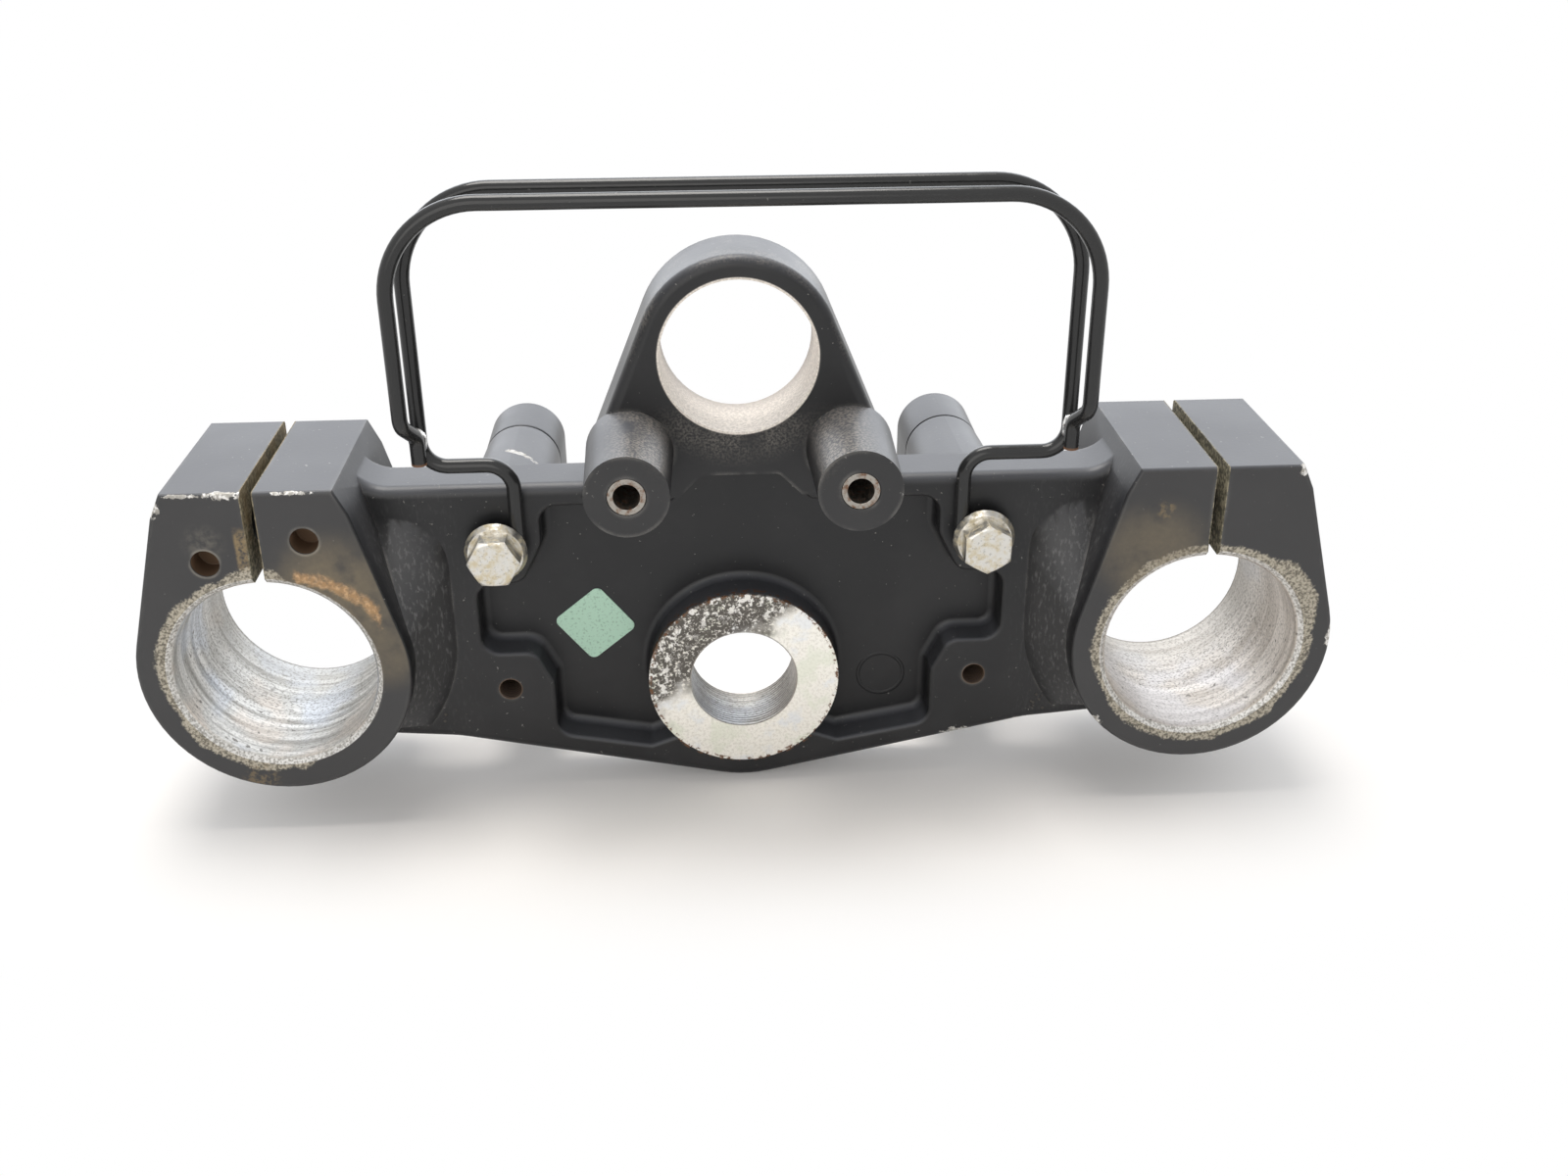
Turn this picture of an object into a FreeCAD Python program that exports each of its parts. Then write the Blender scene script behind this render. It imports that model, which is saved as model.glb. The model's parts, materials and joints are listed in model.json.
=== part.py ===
import FreeCAD, Part
import math
import os
import Sketcher

# Upper triple clamp of a motorcycle, with its wire cable guide and handlebar clamp caps.
# Millimetres. The stem axis runs along Y through the origin, the underside faces -Y,
# and the origin lies on the machined seat of the stem boss. +X and -X are the two fork sides.

Vector = FreeCAD.Vector
SIDES = (-1, 1)
SIDE_NAMES = {-1: "left", 1: "right"}
ON_AXIS = (0, None)
CAP_SCREW_Z = {
    -1: "Sizes.cap_screw_span / 2 - Sizes.bar_height",
    1: "Sizes.cap_screw_span / 2 + Sizes.bar_height",
}
END_NAMES = {-1: "lower", 1: "upper"}
EYE_SWEEP = 260
BOLT_TURN = {-1: 0, 1: 30}
LABEL_TURN = 84
WEB_SWEEP = 38
# A corner rounded by a hair less than half the width keeps a straight sliver, which the outline needs.
FULL_ROUND = 0.999
TINY = 1e-6
NEAR = 1e-3

SIZES = {
    "fork_spacing": 202.0,
    "fork_bore": 43.0,
    "fork_rise": 12.4,
    "bore_chamfer": 1.2,
    "clamp_wall": 7.5,
    "clamp_reach": 13.0,
    "clamp_length": 42.3,
    "lug_height": 42.2,
    "lug_top_width": 34.8,
    "lug_shoulder_width": 40.0,
    "lug_shoulder_height": 36.7,
    "slot_width": 2.4,
    "pinch_clearance": 8.6,
    "pinch_thread": 7.0,
    "pinch_thread_depth": 15.0,
    "pinch_head_seat": 14.5,
    "pinch_seat_offset": 13.5,
    "pinch_height": 32.0,
    "pinch_inset": 10.0,
    "face_hole": 5.9,
    "face_hole_depth": 6.0,
    "face_hole_spacing": 20.8,
    "face_hole_low": 26.6,
    "face_hole_high": 31.1,
    "stem_bore": 24.2,
    "stem_boss": 43.4,
    "stem_rim": 27.5,
    "rim_setback": 1.5,
    "plate_rear": 14.2,
    "plate_round": 2.5,
    "plate_top": 48.5,
    "plate_inset": 0.4,
    "knee_x": 66.0,
    "knee_drop": 14.3,
    "knee_rise": 2.0,
    "knee_round": 30.0,
    "saddle_round": 9.0,
    "web_reach": 10.0,
    "web_flare": 10.0,
    "web_shoulder": 14.0,
    "web_tip_height": 7.6,
    "web_tip_shoulder": 4.0,
    "web_inset": 1.0,
    "clamp_round": 0.8,
    "pocket_depth": 7.6,
    "pocket_root": 1.8,
    "pocket_rim": 1.0,
    "pocket_top": 43.5,
    "pocket_side": 58.7,
    "pocket_step": 7.8,
    "pocket_waist": 43.0,
    "pocket_bottom": 13.8,
    "pocket_corner": 4.0,
    "tongue_width": 16.6,
    "tongue_rise": 2.0,
    "ring_height": 76.6,
    "ring_bore": 33.0,
    "ring_wall": 4.8,
    "ring_thickness": 17.8,
    "ring_skirt": 31.5,
    "ring_root": 3.0,
    "ring_round": 2.4,
    "lock_spacing": 46.8,
    "lock_height": 56.2,
    "lock_boss": 17.4,
    "lock_reach": 24.3,
    "lock_draft": 1.5,
    "insert_outer": 7.8,
    "insert_bore": 5.4,
    "insert_length": 16.0,
    "insert_fit": 0.1,
    "guide_spacing": 106.4,
    "guide_height": 34.6,
    "guide_pad": 9.5,
    "bolt_shank": 6.0,
    "bolt_length": 15.0,
    "bolt_flats": 10.0,
    "bolt_flange": 13.7,
    "bolt_flange_top": 12.0,
    "bolt_crown": 9.2,
    "bolt_crown_flare": 26.4,
    "bolt_flange_height": 1.5,
    "bolt_head_height": 6.6,
    "bolt_clearance": 0.2,
    "seat_gap": 0.1,
    "tapped_hole": 5.0,
    "tapped_depth": 13.0,
    "pad_hole_drop": 1.4,
    "wire": 3.2,
    "hoop_shift": 1.7,
    "hoop_width": 137.6,
    "hoop_top": 112.3,
    "hoop_corner": 19.0,
    "shelf_height": 54.2,
    "shelf_bend": 5.5,
    "front_gap": 9.0,
    "front_extra": 1.9,
    "front_drop": 0.8,
    "front_jog": 66.5,
    "stub_end": 56.0,
    "jog_bend": 3.4,
    "riser_spacing": 104.0,
    "riser_width": 18.4,
    "riser_split": 51.0,
    "riser_draft": 2.5,
    "bar_bore": 22.2,
    "bar_height": 16.6,
    "cap_screw_span": 36.0,
    "cap_gap": 0.8,
    "cap_thickness": 16.2,
    "cap_screw": 8.0,
    "cap_screw_head": 13.0,
    "cap_screw_head_height": 8.0,
    "cap_screw_length": 28.0,
    "cap_screw_socket": 6.0,
    "cap_screw_clearance": 0.6,
    "label_side": 13.5,
    "label_corner": 1.6,
    "label_thickness": 0.2,
    "label_x": 33.6,
    "label_height": 11.0,
}

doc = FreeCAD.newDocument("upper_triple_clamp")
sheet = doc.addObject("Spreadsheet::Sheet", "Sizes")
for row, (alias, number) in enumerate(SIZES.items(), start=1):
    sheet.set("A%d" % row, alias)
    sheet.set("B%d" % row, str(number))
    sheet.setAlias("B%d" % row, alias)
doc.recompute()


def size(alias):
    return float(sheet.get(alias))


def bind(obj, **expressions):
    """Ties properties of an object to expressions on the size sheet."""
    for prop, expression in expressions.items():
        obj.setExpression(prop.replace("__", "."), expression)


# Outlines

def rounded(points):
    """Edges of a closed outline from (x, z, corner radius) points."""
    count = len(points)
    starts, ends, arcs = [], [], []
    for i in range(count):
        here = Vector(points[i][0], points[i][1], 0)
        before = Vector(points[i - 1][0], points[i - 1][1], 0)
        after = Vector(points[(i + 1) % count][0], points[(i + 1) % count][1], 0)
        radius = points[i][2]
        if radius == 0:
            starts.append(here)
            ends.append(here)
            arcs.append(None)
            continue
        back = (before - here).normalize()
        forth = (after - here).normalize()
        half = back.getAngle(forth) / 2
        reach = radius / math.tan(half)
        first = here + back * reach
        last = here + forth * reach
        bisector = (back + forth).normalize()
        centre = here + bisector * (radius / math.sin(half))
        starts.append(first)
        ends.append(last)
        arcs.append(Part.Arc(first, centre - bisector * radius, last))
    edges = []
    for i in range(count):
        if arcs[i] is not None:
            edges.append(arcs[i])
        run_start, run_end = ends[i], starts[(i + 1) % count]
        if (run_end - run_start).Length > TINY:
            edges.append(Part.LineSegment(run_start, run_end))
    return edges


def mirrored(points):
    """A closed outline from its right half, listed from the top of the centre line to its foot."""
    left = [(-x, z, r) for x, z, r in reversed(points) if x > TINY]
    return list(points) + left


def tangent_foot(x, z, radius):
    """Point where the line from (x, z) meets a circle about the origin, on its lower right side."""
    turn = math.atan2(z, x) - math.acos(radius / math.hypot(x, z))
    return radius * math.cos(turn), radius * math.sin(turn)


# Sketches and features of a body

def origin_plane(body, role):
    for feature in body.Origin.OriginFeatures:
        if feature.Role == role:
            return feature


def new_sketch(body, name, role="XZ_Plane", depth=None):
    """Sketch on an origin plane; depth is where it lies along Y, or along X on the YZ plane."""
    sketch = body.newObject("Sketcher::SketchObject", name)
    sketch.AttachmentSupport = [(origin_plane(body, role), "")]
    sketch.MapMode = "FlatFace"
    if depth is not None:
        sign = "-" if role == "XZ_Plane" else ""
        sketch.setExpression("AttachmentOffset.Base.z", "%s(%s)" % (sign, depth))
    return sketch


def draw_circle(sketch, x, z, diameter):
    """Circle tied to the sheet; x and z are a sign and an expression, or ON_AXIS."""
    geometry = sketch.addGeometry(Part.Circle(Vector(1, 1, 0), Vector(0, 0, 1), 1))
    for kind, axis, (sign, expression) in (("DistanceX", -2, x), ("DistanceY", -1, z)):
        if sign == 0:
            sketch.addConstraint(Sketcher.Constraint("PointOnObject", geometry, 3, axis))
            continue
        ends = (-1, 1, geometry, 3) if sign > 0 else (geometry, 3, -1, 1)
        index = sketch.addConstraint(Sketcher.Constraint(kind, *ends, 1.0))
        sketch.setExpression("Constraints[%d]" % index, expression)
    index = sketch.addConstraint(Sketcher.Constraint("Diameter", geometry, 2.0))
    sketch.setExpression("Constraints[%d]" % index, diameter)


def draw_outline(sketch, points):
    for edge in rounded(points):
        sketch.addGeometry(edge)


def pad(body, sketch, length, to_rear=True, draft=None):
    feature = body.newObject("PartDesign::Pad", sketch.Name + "_pad")
    feature.Profile = sketch
    feature.setExpression("Length", length)
    feature.Reversed = to_rear
    if draft is not None:
        feature.setExpression("TaperAngle", draft)
    doc.recompute()
    return feature


def pocket(body, sketch, length=None, to_rear=True, both_ways=False):
    """Cut towards +Y (or towards -X from the YZ plane); through everything if no length is given."""
    before = body.Tip.Shape.Volume
    feature = body.newObject("PartDesign::Pocket", sketch.Name + "_cut")
    feature.Profile = sketch
    feature.Reversed = not to_rear
    feature.Midplane = both_ways
    if length is None:
        feature.Type = "ThroughAll"
    else:
        feature.setExpression("Length", length)
    doc.recompute()
    if feature.Shape.Volume >= before:
        raise RuntimeError("%s cuts nothing" % feature.Name)
    return feature


def loft(body, root, tip):
    """Straight-sided solid from one sketch to another."""
    feature = body.newObject("PartDesign::AdditiveLoft", root.Name + "_loft")
    feature.Profile = root
    feature.Sections = [tip]
    feature.Ruled = True
    doc.recompute()
    return feature


def treat_edges(body, kind, prop, wanted, length):
    """Rounds or bevels the edges of the body that wanted(edge) picks."""
    base = body.Tip
    names = ["Edge%d" % n for n, edge in enumerate(base.Shape.Edges, start=1) if wanted(edge)]
    feature = body.newObject("PartDesign::" + kind, kind.lower())
    feature.Base = (base, names)
    feature.setExpression(prop, length)
    doc.recompute()
    if not names or not feature.isValid():
        raise RuntimeError("%s of %s took %d edges and failed" % (feature.Name, body.Label, len(names)))
    return feature


def chamfer(body, wanted, length):
    return treat_edges(body, "Chamfer", "Size", wanted, length)


def fillet(body, wanted, radius):
    return treat_edges(body, "Fillet", "Radius", wanted, radius)


def lies_at(edge, depth):
    """True for an edge that lies in the plane at this depth along Y."""
    box = edge.BoundBox
    return abs(box.YMin - depth) < NEAR and abs(box.YMax - depth) < NEAR


def is_rim(edge, depth, radius):
    """True for a circular edge about a Y axis at this depth with this radius."""
    curve = edge.Curve
    if not isinstance(curve, Part.Circle):
        return False
    flat = abs(abs(curve.Axis.y) - 1) < TINY
    return flat and abs(curve.Center.y - depth) < NEAR and abs(curve.Radius - radius) < NEAR


# Yoke casting

def is_pocket_rim(edge):
    """True for an edge round the mouth of the underside pocket, among those in the rim's plane."""
    middle = edge.CenterOfMass
    low = -size("pocket_bottom") - size("pocket_corner")
    return abs(middle.x) < size("pocket_side") + NEAR and low < middle.z < size("pocket_top") + NEAR


def plate_outline():
    top = size("plate_top")
    inside_clamp = size("fork_spacing") / 2 - size("fork_bore") / 4
    knee = (size("knee_x"), -size("knee_drop"))
    # The tangent from the knee is found with the axes swapped, so that it touches below the stem.
    foot_x, foot_z = tangent_foot(-knee[1], knee[0], size("stem_rim"))
    touch = (foot_z, -foot_x)
    slope = (knee[1] - touch[1]) / (knee[0] - touch[0])
    vertex = touch[1] - slope * touch[0]
    # The top curves up into the bevelled side of each lug and ends inside the lug.
    fork_x = size("fork_spacing") / 2
    rise = size("lug_height") - size("lug_shoulder_height")
    lean = (size("lug_shoulder_width") - size("lug_top_width")) / 2 / rise
    shoulder_x = fork_x - size("lug_shoulder_width") / 2 + size("plate_inset")
    shoulder_z = size("fork_rise") + size("lug_shoulder_height")
    lug_z = size("fork_rise") + size("lug_height") - size("plate_inset")
    return mirrored([
        (0, top, 0),
        (shoulder_x + lean * (top - shoulder_z), top, size("saddle_round")),
        (shoulder_x + lean * (lug_z - shoulder_z), lug_z, 0),
        (inside_clamp, lug_z, 0),
        (inside_clamp, knee[1] + size("knee_rise"), 0),
        (knee[0], knee[1], size("knee_round")),
        (0, vertex, size("stem_rim")),
    ])


def lug_outline(side):
    centre_x = side * size("fork_spacing") / 2
    centre_z = size("fork_rise")
    outer = size("fork_bore") / 2 + size("clamp_wall")
    shoulder = (size("lug_shoulder_width") / 2, size("lug_shoulder_height"))
    foot = tangent_foot(shoulder[0], shoulder[1], outer)
    half = [
        (0, size("lug_height"), 0),
        (size("lug_top_width") / 2, size("lug_height"), 0),
        (shoulder[0], shoulder[1], 0),
        (foot[0], foot[1], 0),
        (0, 0, 0),
    ]
    return [(x + centre_x, z + centre_z, r) for x, z, r in mirrored(half)]


def ring_outline():
    outer = size("ring_bore") / 2 + size("ring_wall")
    centre_z = size("ring_height")
    skirt = (size("ring_skirt"), size("lock_height"))
    turn = math.atan2(skirt[1] - centre_z, skirt[0])
    turn += math.acos(outer / math.hypot(skirt[0], skirt[1] - centre_z))
    touch = (outer * math.cos(turn), centre_z + outer * math.sin(turn))
    slope = (touch[1] - skirt[1]) / (touch[0] - skirt[0])
    peak = touch[1] - slope * touch[0]
    foot = size("plate_top") - size("ring_root")
    return mirrored([
        (0, peak, outer),
        (skirt[0], skirt[1], size("ring_root")),
        (skirt[0] + size("ring_root"), foot, 0),
        (0, foot, 0),
    ])


def pocket_outline():
    """Underside pocket: round the guide pads and the tapped pads, with a tongue under the lock ring."""
    corner = size("pocket_corner")
    pad_x = size("guide_spacing") / 2
    pad_z = size("guide_height")
    pad_r = size("guide_pad")
    side = size("pocket_side")
    waist = size("pocket_waist")
    step = size("pocket_step")
    bottom = -size("pocket_bottom")
    boss = size("stem_boss") / 2
    tongue = size("tongue_width") / 2
    tongue_top = size("plate_top") + size("tongue_rise")
    shoulder = size("pocket_top")
    return mirrored([
        (0, tongue_top, 0),
        (tongue, tongue_top, corner / 2),
        (tongue + tongue_top - shoulder, shoulder, corner / 2),
        (pad_x - pad_r, shoulder, corner),
        (pad_x - pad_r, pad_z, pad_r / 2),
        (pad_x - pad_r / 2, pad_z - pad_r, corner),
        (side, pad_z - pad_r, corner),
        (side, step, corner),
        (waist + corner, step, corner),
        (waist, step - 2 * corner, corner / 2),
        (waist, bottom, corner),
        (boss, bottom - corner, corner / 2),
        (boss / 2, bottom, 0),
        (0, bottom, 0),
    ])


def web_outline(side, flare, top, shoulder):
    """Section of the flared web round a clamp, which stands off the clamp's wall by flare."""
    fork_x = size("fork_spacing") / 2
    centre_z = size("fork_rise")
    radius = size("fork_bore") / 2 + size("clamp_wall") + flare
    turn = math.radians(WEB_SWEEP)
    # The tangents at the two ends of the arc meet at this depth below the clamp's centre.
    meet = radius * math.tan(turn / 2)
    low_x = fork_x - radius * math.cos(turn)
    low_z = centre_z - radius * math.sin(turn)
    points = [
        (fork_x, top, 0),
        (fork_x - radius, top, shoulder),
        (fork_x - radius, centre_z - meet, radius),
        (low_x, low_z, 0),
        (fork_x, low_z, 0),
    ]
    return [(side * x, z, r) for x, z, r in points]


def riser_outline(side):
    half = size("riser_width") / 2
    x = side * size("riser_spacing") / 2
    reach = size("cap_screw_span") / 2 + half
    low = size("bar_height") - reach
    high = size("bar_height") + reach
    round_end = half * FULL_ROUND
    corners = ((x - half, high), (x + half, high), (x + half, low), (x - half, low))
    return [(px, pz, round_end) for px, pz in corners]


def slot_outline(side):
    fork_x = side * size("fork_spacing") / 2
    half = size("slot_width") / 2
    top = size("fork_rise") + size("lug_height") + size("clamp_wall")
    corners = ((fork_x - half, top), (fork_x + half, top),
               (fork_x + half, size("fork_rise")), (fork_x - half, size("fork_rise")))
    return [(x, z, 0) for x, z in corners]


def cut_pinch_holes(body, side):
    """Two pinch bolt holes across each slot: clear and counterbored outside, tapped inside."""
    name = SIDE_NAMES[side]
    sign = "" if side > 0 else "-"
    fork_x = "Sizes.fork_spacing / 2"
    outside = "%s(%s + Sizes.fork_bore)" % (sign, fork_x)
    height = (1, "Sizes.fork_rise + Sizes.pinch_height")
    low = (-1, "Sizes.clamp_reach - Sizes.pinch_inset")
    high = (1, "Sizes.clamp_length - Sizes.clamp_reach - Sizes.pinch_inset")
    seat_length = "Sizes.fork_bore - Sizes.pinch_seat_offset"
    slot_middle = "%s(%s)" % (sign, fork_x)
    cuts = (
        ("pinch_seat_", outside, "Sizes.pinch_head_seat", seat_length),
        ("pinch_clear_", outside, "Sizes.pinch_clearance", "Sizes.fork_bore"),
        ("pinch_thread_", slot_middle, "Sizes.pinch_thread", "Sizes.pinch_thread_depth"),
    )
    for label, depth, diameter, length in cuts:
        sketch = new_sketch(body, label + name, "YZ_Plane", depth)
        for place in (low, high):
            draw_circle(sketch, place, height, diameter)
        pocket(body, sketch, length, to_rear=side > 0)


def cut_round(body, name, depth, places, diameter, length=None):
    """Round holes along Y from a depth; places are (x, z) pairs of signed expressions."""
    sketch = new_sketch(body, name, depth=depth)
    for x, z in places:
        draw_circle(sketch, x, z, diameter)
    return pocket(body, sketch, length)


def make_yoke():
    body = doc.addObject("PartDesign::Body", "yoke")
    fork_x = "Sizes.fork_spacing / 2"
    fork_z = (1, "Sizes.fork_rise")
    clamp_front = "-Sizes.clamp_reach"
    rim = "Sizes.rim_setback"
    guide_z = (1, "Sizes.guide_height")

    plate = new_sketch(body, "plate", depth=rim)
    draw_outline(plate, plate_outline())
    pad(body, plate, "Sizes.plate_rear - Sizes.rim_setback")
    rim_y = size("rim_setback")
    fillet(body, lambda e: lies_at(e, rim_y), "Sizes.plate_round")

    ring = new_sketch(body, "lock_ring")
    draw_outline(ring, ring_outline())
    pad(body, ring, "Sizes.ring_thickness")
    above_plate = size("plate_top")
    fillet(body, lambda e: lies_at(e, 0) and e.CenterOfMass.z > above_plate, "Sizes.ring_round")

    # The pocket starts at the ring's front face, so that its tongue opens between the lock bosses.
    hollow = new_sketch(body, "underside_pocket")
    draw_outline(hollow, pocket_outline())
    pocket(body, hollow, "Sizes.rim_setback + Sizes.pocket_depth")

    boss = new_sketch(body, "stem_boss")
    draw_circle(boss, ON_AXIS, ON_AXIS, "Sizes.stem_boss")
    pad(body, boss, "Sizes.plate_rear")
    floor_y = rim_y + size("pocket_depth")
    fillet(body, lambda e: lies_at(e, floor_y), "Sizes.pocket_root")
    fillet(body, lambda e: lies_at(e, rim_y) and is_pocket_rim(e), "Sizes.pocket_rim")

    for side in SIDES:
        name = SIDE_NAMES[side]
        root = new_sketch(body, "web_root_" + name, depth=rim + " + Sizes.plate_round")
        root_top = size("plate_top") - size("web_inset")
        draw_outline(root, web_outline(side, size("web_flare"), root_top, size("web_shoulder")))
        tip = new_sketch(body, "web_tip_" + name, depth=rim + " - Sizes.web_reach")
        tip_top = size("fork_rise") + size("web_tip_height")
        draw_outline(tip, web_outline(side, -size("web_inset"), tip_top, size("web_tip_shoulder")))
        loft(body, root, tip)
        clamp = new_sketch(body, "clamp_" + name, depth=clamp_front)
        draw_circle(clamp, (side, fork_x), fork_z, "Sizes.fork_bore + 2 * Sizes.clamp_wall")
        pad(body, clamp, "Sizes.clamp_length")
        lug = new_sketch(body, "lug_" + name, depth=clamp_front)
        draw_outline(lug, lug_outline(side))
        pad(body, lug, "Sizes.clamp_length")
        front_y = -size("clamp_reach")
        rear_y = front_y + size("clamp_length")
        fillet(body, lambda e: lies_at(e, front_y) and side * e.CenterOfMass.x > 0, "Sizes.clamp_round")
        fillet(body, lambda e: lies_at(e, rear_y) and side * e.CenterOfMass.x > 0, "Sizes.clamp_round")
        lock = new_sketch(body, "lock_boss_" + name, depth="-Sizes.lock_reach")
        draw_circle(lock, (side, "Sizes.lock_spacing / 2"), (1, "Sizes.lock_height"), "Sizes.lock_boss")
        pad(body, lock, "Sizes.lock_reach + Sizes.rim_setback", draft="Sizes.lock_draft")
        riser = new_sketch(body, "riser_" + name, depth="Sizes.riser_split")
        draw_outline(riser, riser_outline(side))
        pad(body, riser, "Sizes.riser_split - Sizes.plate_rear + Sizes.rim_setback",
            to_rear=False, draft="Sizes.riser_draft")

    both_forks = [((side, fork_x), fork_z) for side in SIDES]
    cut_round(body, "fork_bores", clamp_front, both_forks, "Sizes.fork_bore")
    for side in SIDES:
        slot = new_sketch(body, "slot_" + SIDE_NAMES[side], depth=clamp_front)
        draw_outline(slot, slot_outline(side))
        pocket(body, slot)
        cut_pinch_holes(body, side)
    cut_round(body, "stem_bore", None, [(ON_AXIS, ON_AXIS)], "Sizes.stem_bore")
    cut_round(body, "ring_bore", None, [(ON_AXIS, (1, "Sizes.ring_height"))], "Sizes.ring_bore")
    both_locks = [((side, "Sizes.lock_spacing / 2"), (1, "Sizes.lock_height")) for side in SIDES]
    cut_round(body, "insert_holes", "-Sizes.lock_reach", both_locks,
              "Sizes.insert_outer + 2 * Sizes.insert_fit", "Sizes.insert_length + Sizes.insert_fit")
    both_guides = [((side, "Sizes.guide_spacing / 2"), guide_z) for side in SIDES]
    cut_round(body, "guide_holes", rim, both_guides,
              "Sizes.bolt_shank + 2 * Sizes.bolt_clearance", "Sizes.bolt_length")
    both_pads = [((side, "Sizes.guide_spacing / 2"), (-1, "Sizes.pad_hole_drop")) for side in SIDES]
    cut_round(body, "pad_holes", rim, both_pads, "Sizes.tapped_hole", "Sizes.tapped_depth")

    # Only the left clamp has the two plain holes in its lower face.
    outer_x = (-1, fork_x + " + Sizes.face_hole_spacing / 2")
    inner_x = (-1, fork_x + " - Sizes.face_hole_spacing / 2")
    low_z = (1, "Sizes.fork_rise + Sizes.face_hole_low")
    high_z = (1, "Sizes.fork_rise + Sizes.face_hole_high")
    spots = [(outer_x, low_z), (inner_x, high_z)]
    cut_round(body, "face_holes", clamp_front, spots, "Sizes.face_hole", "Sizes.face_hole_depth")

    saddle = new_sketch(body, "bar_saddle", "YZ_Plane")
    draw_circle(saddle, (1, "Sizes.riser_split"), (1, "Sizes.bar_height"), "Sizes.bar_bore")
    pocket(body, saddle, "Sizes.fork_spacing", both_ways=True)
    screw_places = [((side, "Sizes.riser_spacing / 2"), (end, CAP_SCREW_Z[end]))
                    for side in SIDES for end in SIDES]
    sketch = new_sketch(body, "cap_screw_holes", depth="Sizes.riser_split")
    for x, z in screw_places:
        draw_circle(sketch, x, z, "Sizes.cap_screw + 2 * Sizes.bolt_clearance")
    pocket(body, sketch, "Sizes.cap_screw_length", to_rear=False)

    front = -size("clamp_reach")
    rear = front + size("clamp_length")
    bore = size("fork_bore") / 2
    chamfer(body, lambda e: is_rim(e, front, bore) or is_rim(e, rear, bore), "Sizes.bore_chamfer")
    return body


# Handlebar clamp caps

def make_cap(side):
    name = SIDE_NAMES[side]
    body = doc.addObject("PartDesign::Body", "riser_cap_" + name)
    face = "Sizes.riser_split + Sizes.cap_gap"
    block = new_sketch(body, "cap_block_" + name, depth=face)
    draw_outline(block, riser_outline(side))
    pad(body, block, "Sizes.cap_thickness")
    saddle = new_sketch(body, "cap_saddle_" + name, "YZ_Plane")
    draw_circle(saddle, (1, "Sizes.riser_split"), (1, "Sizes.bar_height"), "Sizes.bar_bore")
    pocket(body, saddle, "Sizes.fork_spacing", both_ways=True)
    rear = "Sizes.riser_split + Sizes.cap_gap + Sizes.cap_thickness"
    places = [((side, "Sizes.riser_spacing / 2"), (end, CAP_SCREW_Z[end])) for end in SIDES]
    cut_round(body, "cap_clear_" + name, face, places, "Sizes.cap_screw + Sizes.cap_screw_clearance")
    seats = new_sketch(body, "cap_seats_" + name, depth=rear)
    for x, z in places:
        draw_circle(seats, x, z, "Sizes.cap_screw_head + Sizes.cap_screw_clearance")
    pocket(body, seats, "Sizes.cap_screw_head_height", to_rear=False)
    return body


# Turned and headed pieces, made along Y from primitives

FACING_REAR = FreeCAD.Rotation(Vector(1, 0, 0), -90)


def place_along_y(obj, x, y, z):
    """Stands a primitive along +Y with its base at (x, y, z), each an expression."""
    obj.Placement = FreeCAD.Placement(Vector(0, 0, 0), FACING_REAR)
    bind(obj, Placement__Base__x=x, Placement__Base__y=y, Placement__Base__z=z)


def cylinder(name, diameter, height, place):
    obj = doc.addObject("Part::Cylinder", name)
    bind(obj, Radius="(%s) / 2" % diameter, Height=height)
    place_along_y(obj, *place)
    return obj


def cone(name, base, top, height, place):
    obj = doc.addObject("Part::Cone", name)
    bind(obj, Radius1="(%s) / 2" % base, Radius2="(%s) / 2" % top, Height=height)
    place_along_y(obj, *place)
    return obj


def hexagon(name, flats, height, place, turn):
    """Hexagonal prism along Y; turned by turn degrees about its own axis."""
    obj = doc.addObject("Part::Prism", name)
    obj.Polygon = 6
    bind(obj, Circumradius="(%s) / sqrt(3)" % flats, Height=height)
    place_along_y(obj, *place)
    spin = FreeCAD.Rotation(Vector(0, 0, 1), turn)
    obj.Placement = FreeCAD.Placement(obj.Placement.Base, FACING_REAR.multiply(spin))
    return obj


def join(name, kind, pieces):
    """Boolean or compound of pieces: Part::MultiFuse, Part::MultiCommon or Part::Compound."""
    obj = doc.addObject(kind, name)
    if kind == "Part::Compound":
        obj.Links = pieces
    else:
        obj.Shapes = pieces
    return obj


def cut(name, base, tool):
    obj = doc.addObject("Part::Cut", name)
    obj.Base = base
    obj.Tool = tool
    return obj


def make_guide_bolt(side, turn):
    """Hex flange bolt, head towards -Y, flange on the wire eye."""
    name = "guide_bolt_" + SIDE_NAMES[side]
    x = "%d * Sizes.guide_spacing / 2" % side
    z = "Sizes.guide_height"
    seat = "Sizes.rim_setback - Sizes.wire - Sizes.seat_gap"
    head_y = seat + " - Sizes.bolt_head_height"
    flange_y = seat + " - Sizes.bolt_flange_height"
    head_place = (x, head_y, z)
    hexagonal = hexagon(name + "_hex", "Sizes.bolt_flats", "Sizes.bolt_head_height", head_place, turn)
    # The crown is a wide cone that takes the corners off the top of the hexagon.
    crown_foot = "Sizes.bolt_crown + Sizes.bolt_crown_flare"
    crown = cone(name + "_crown", "Sizes.bolt_crown", crown_foot, "Sizes.bolt_head_height", head_place)
    head = join(name + "_head", "Part::MultiCommon", [hexagonal, crown])
    flange = cone(name + "_flange", "Sizes.bolt_flange_top", "Sizes.bolt_flange",
                  "Sizes.bolt_flange_height", (x, flange_y, z))
    shank = cylinder(name + "_shank", "Sizes.bolt_shank", "Sizes.bolt_length", (x, seat, z))
    return join(name, "Part::MultiFuse", [head, flange, shank])


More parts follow.
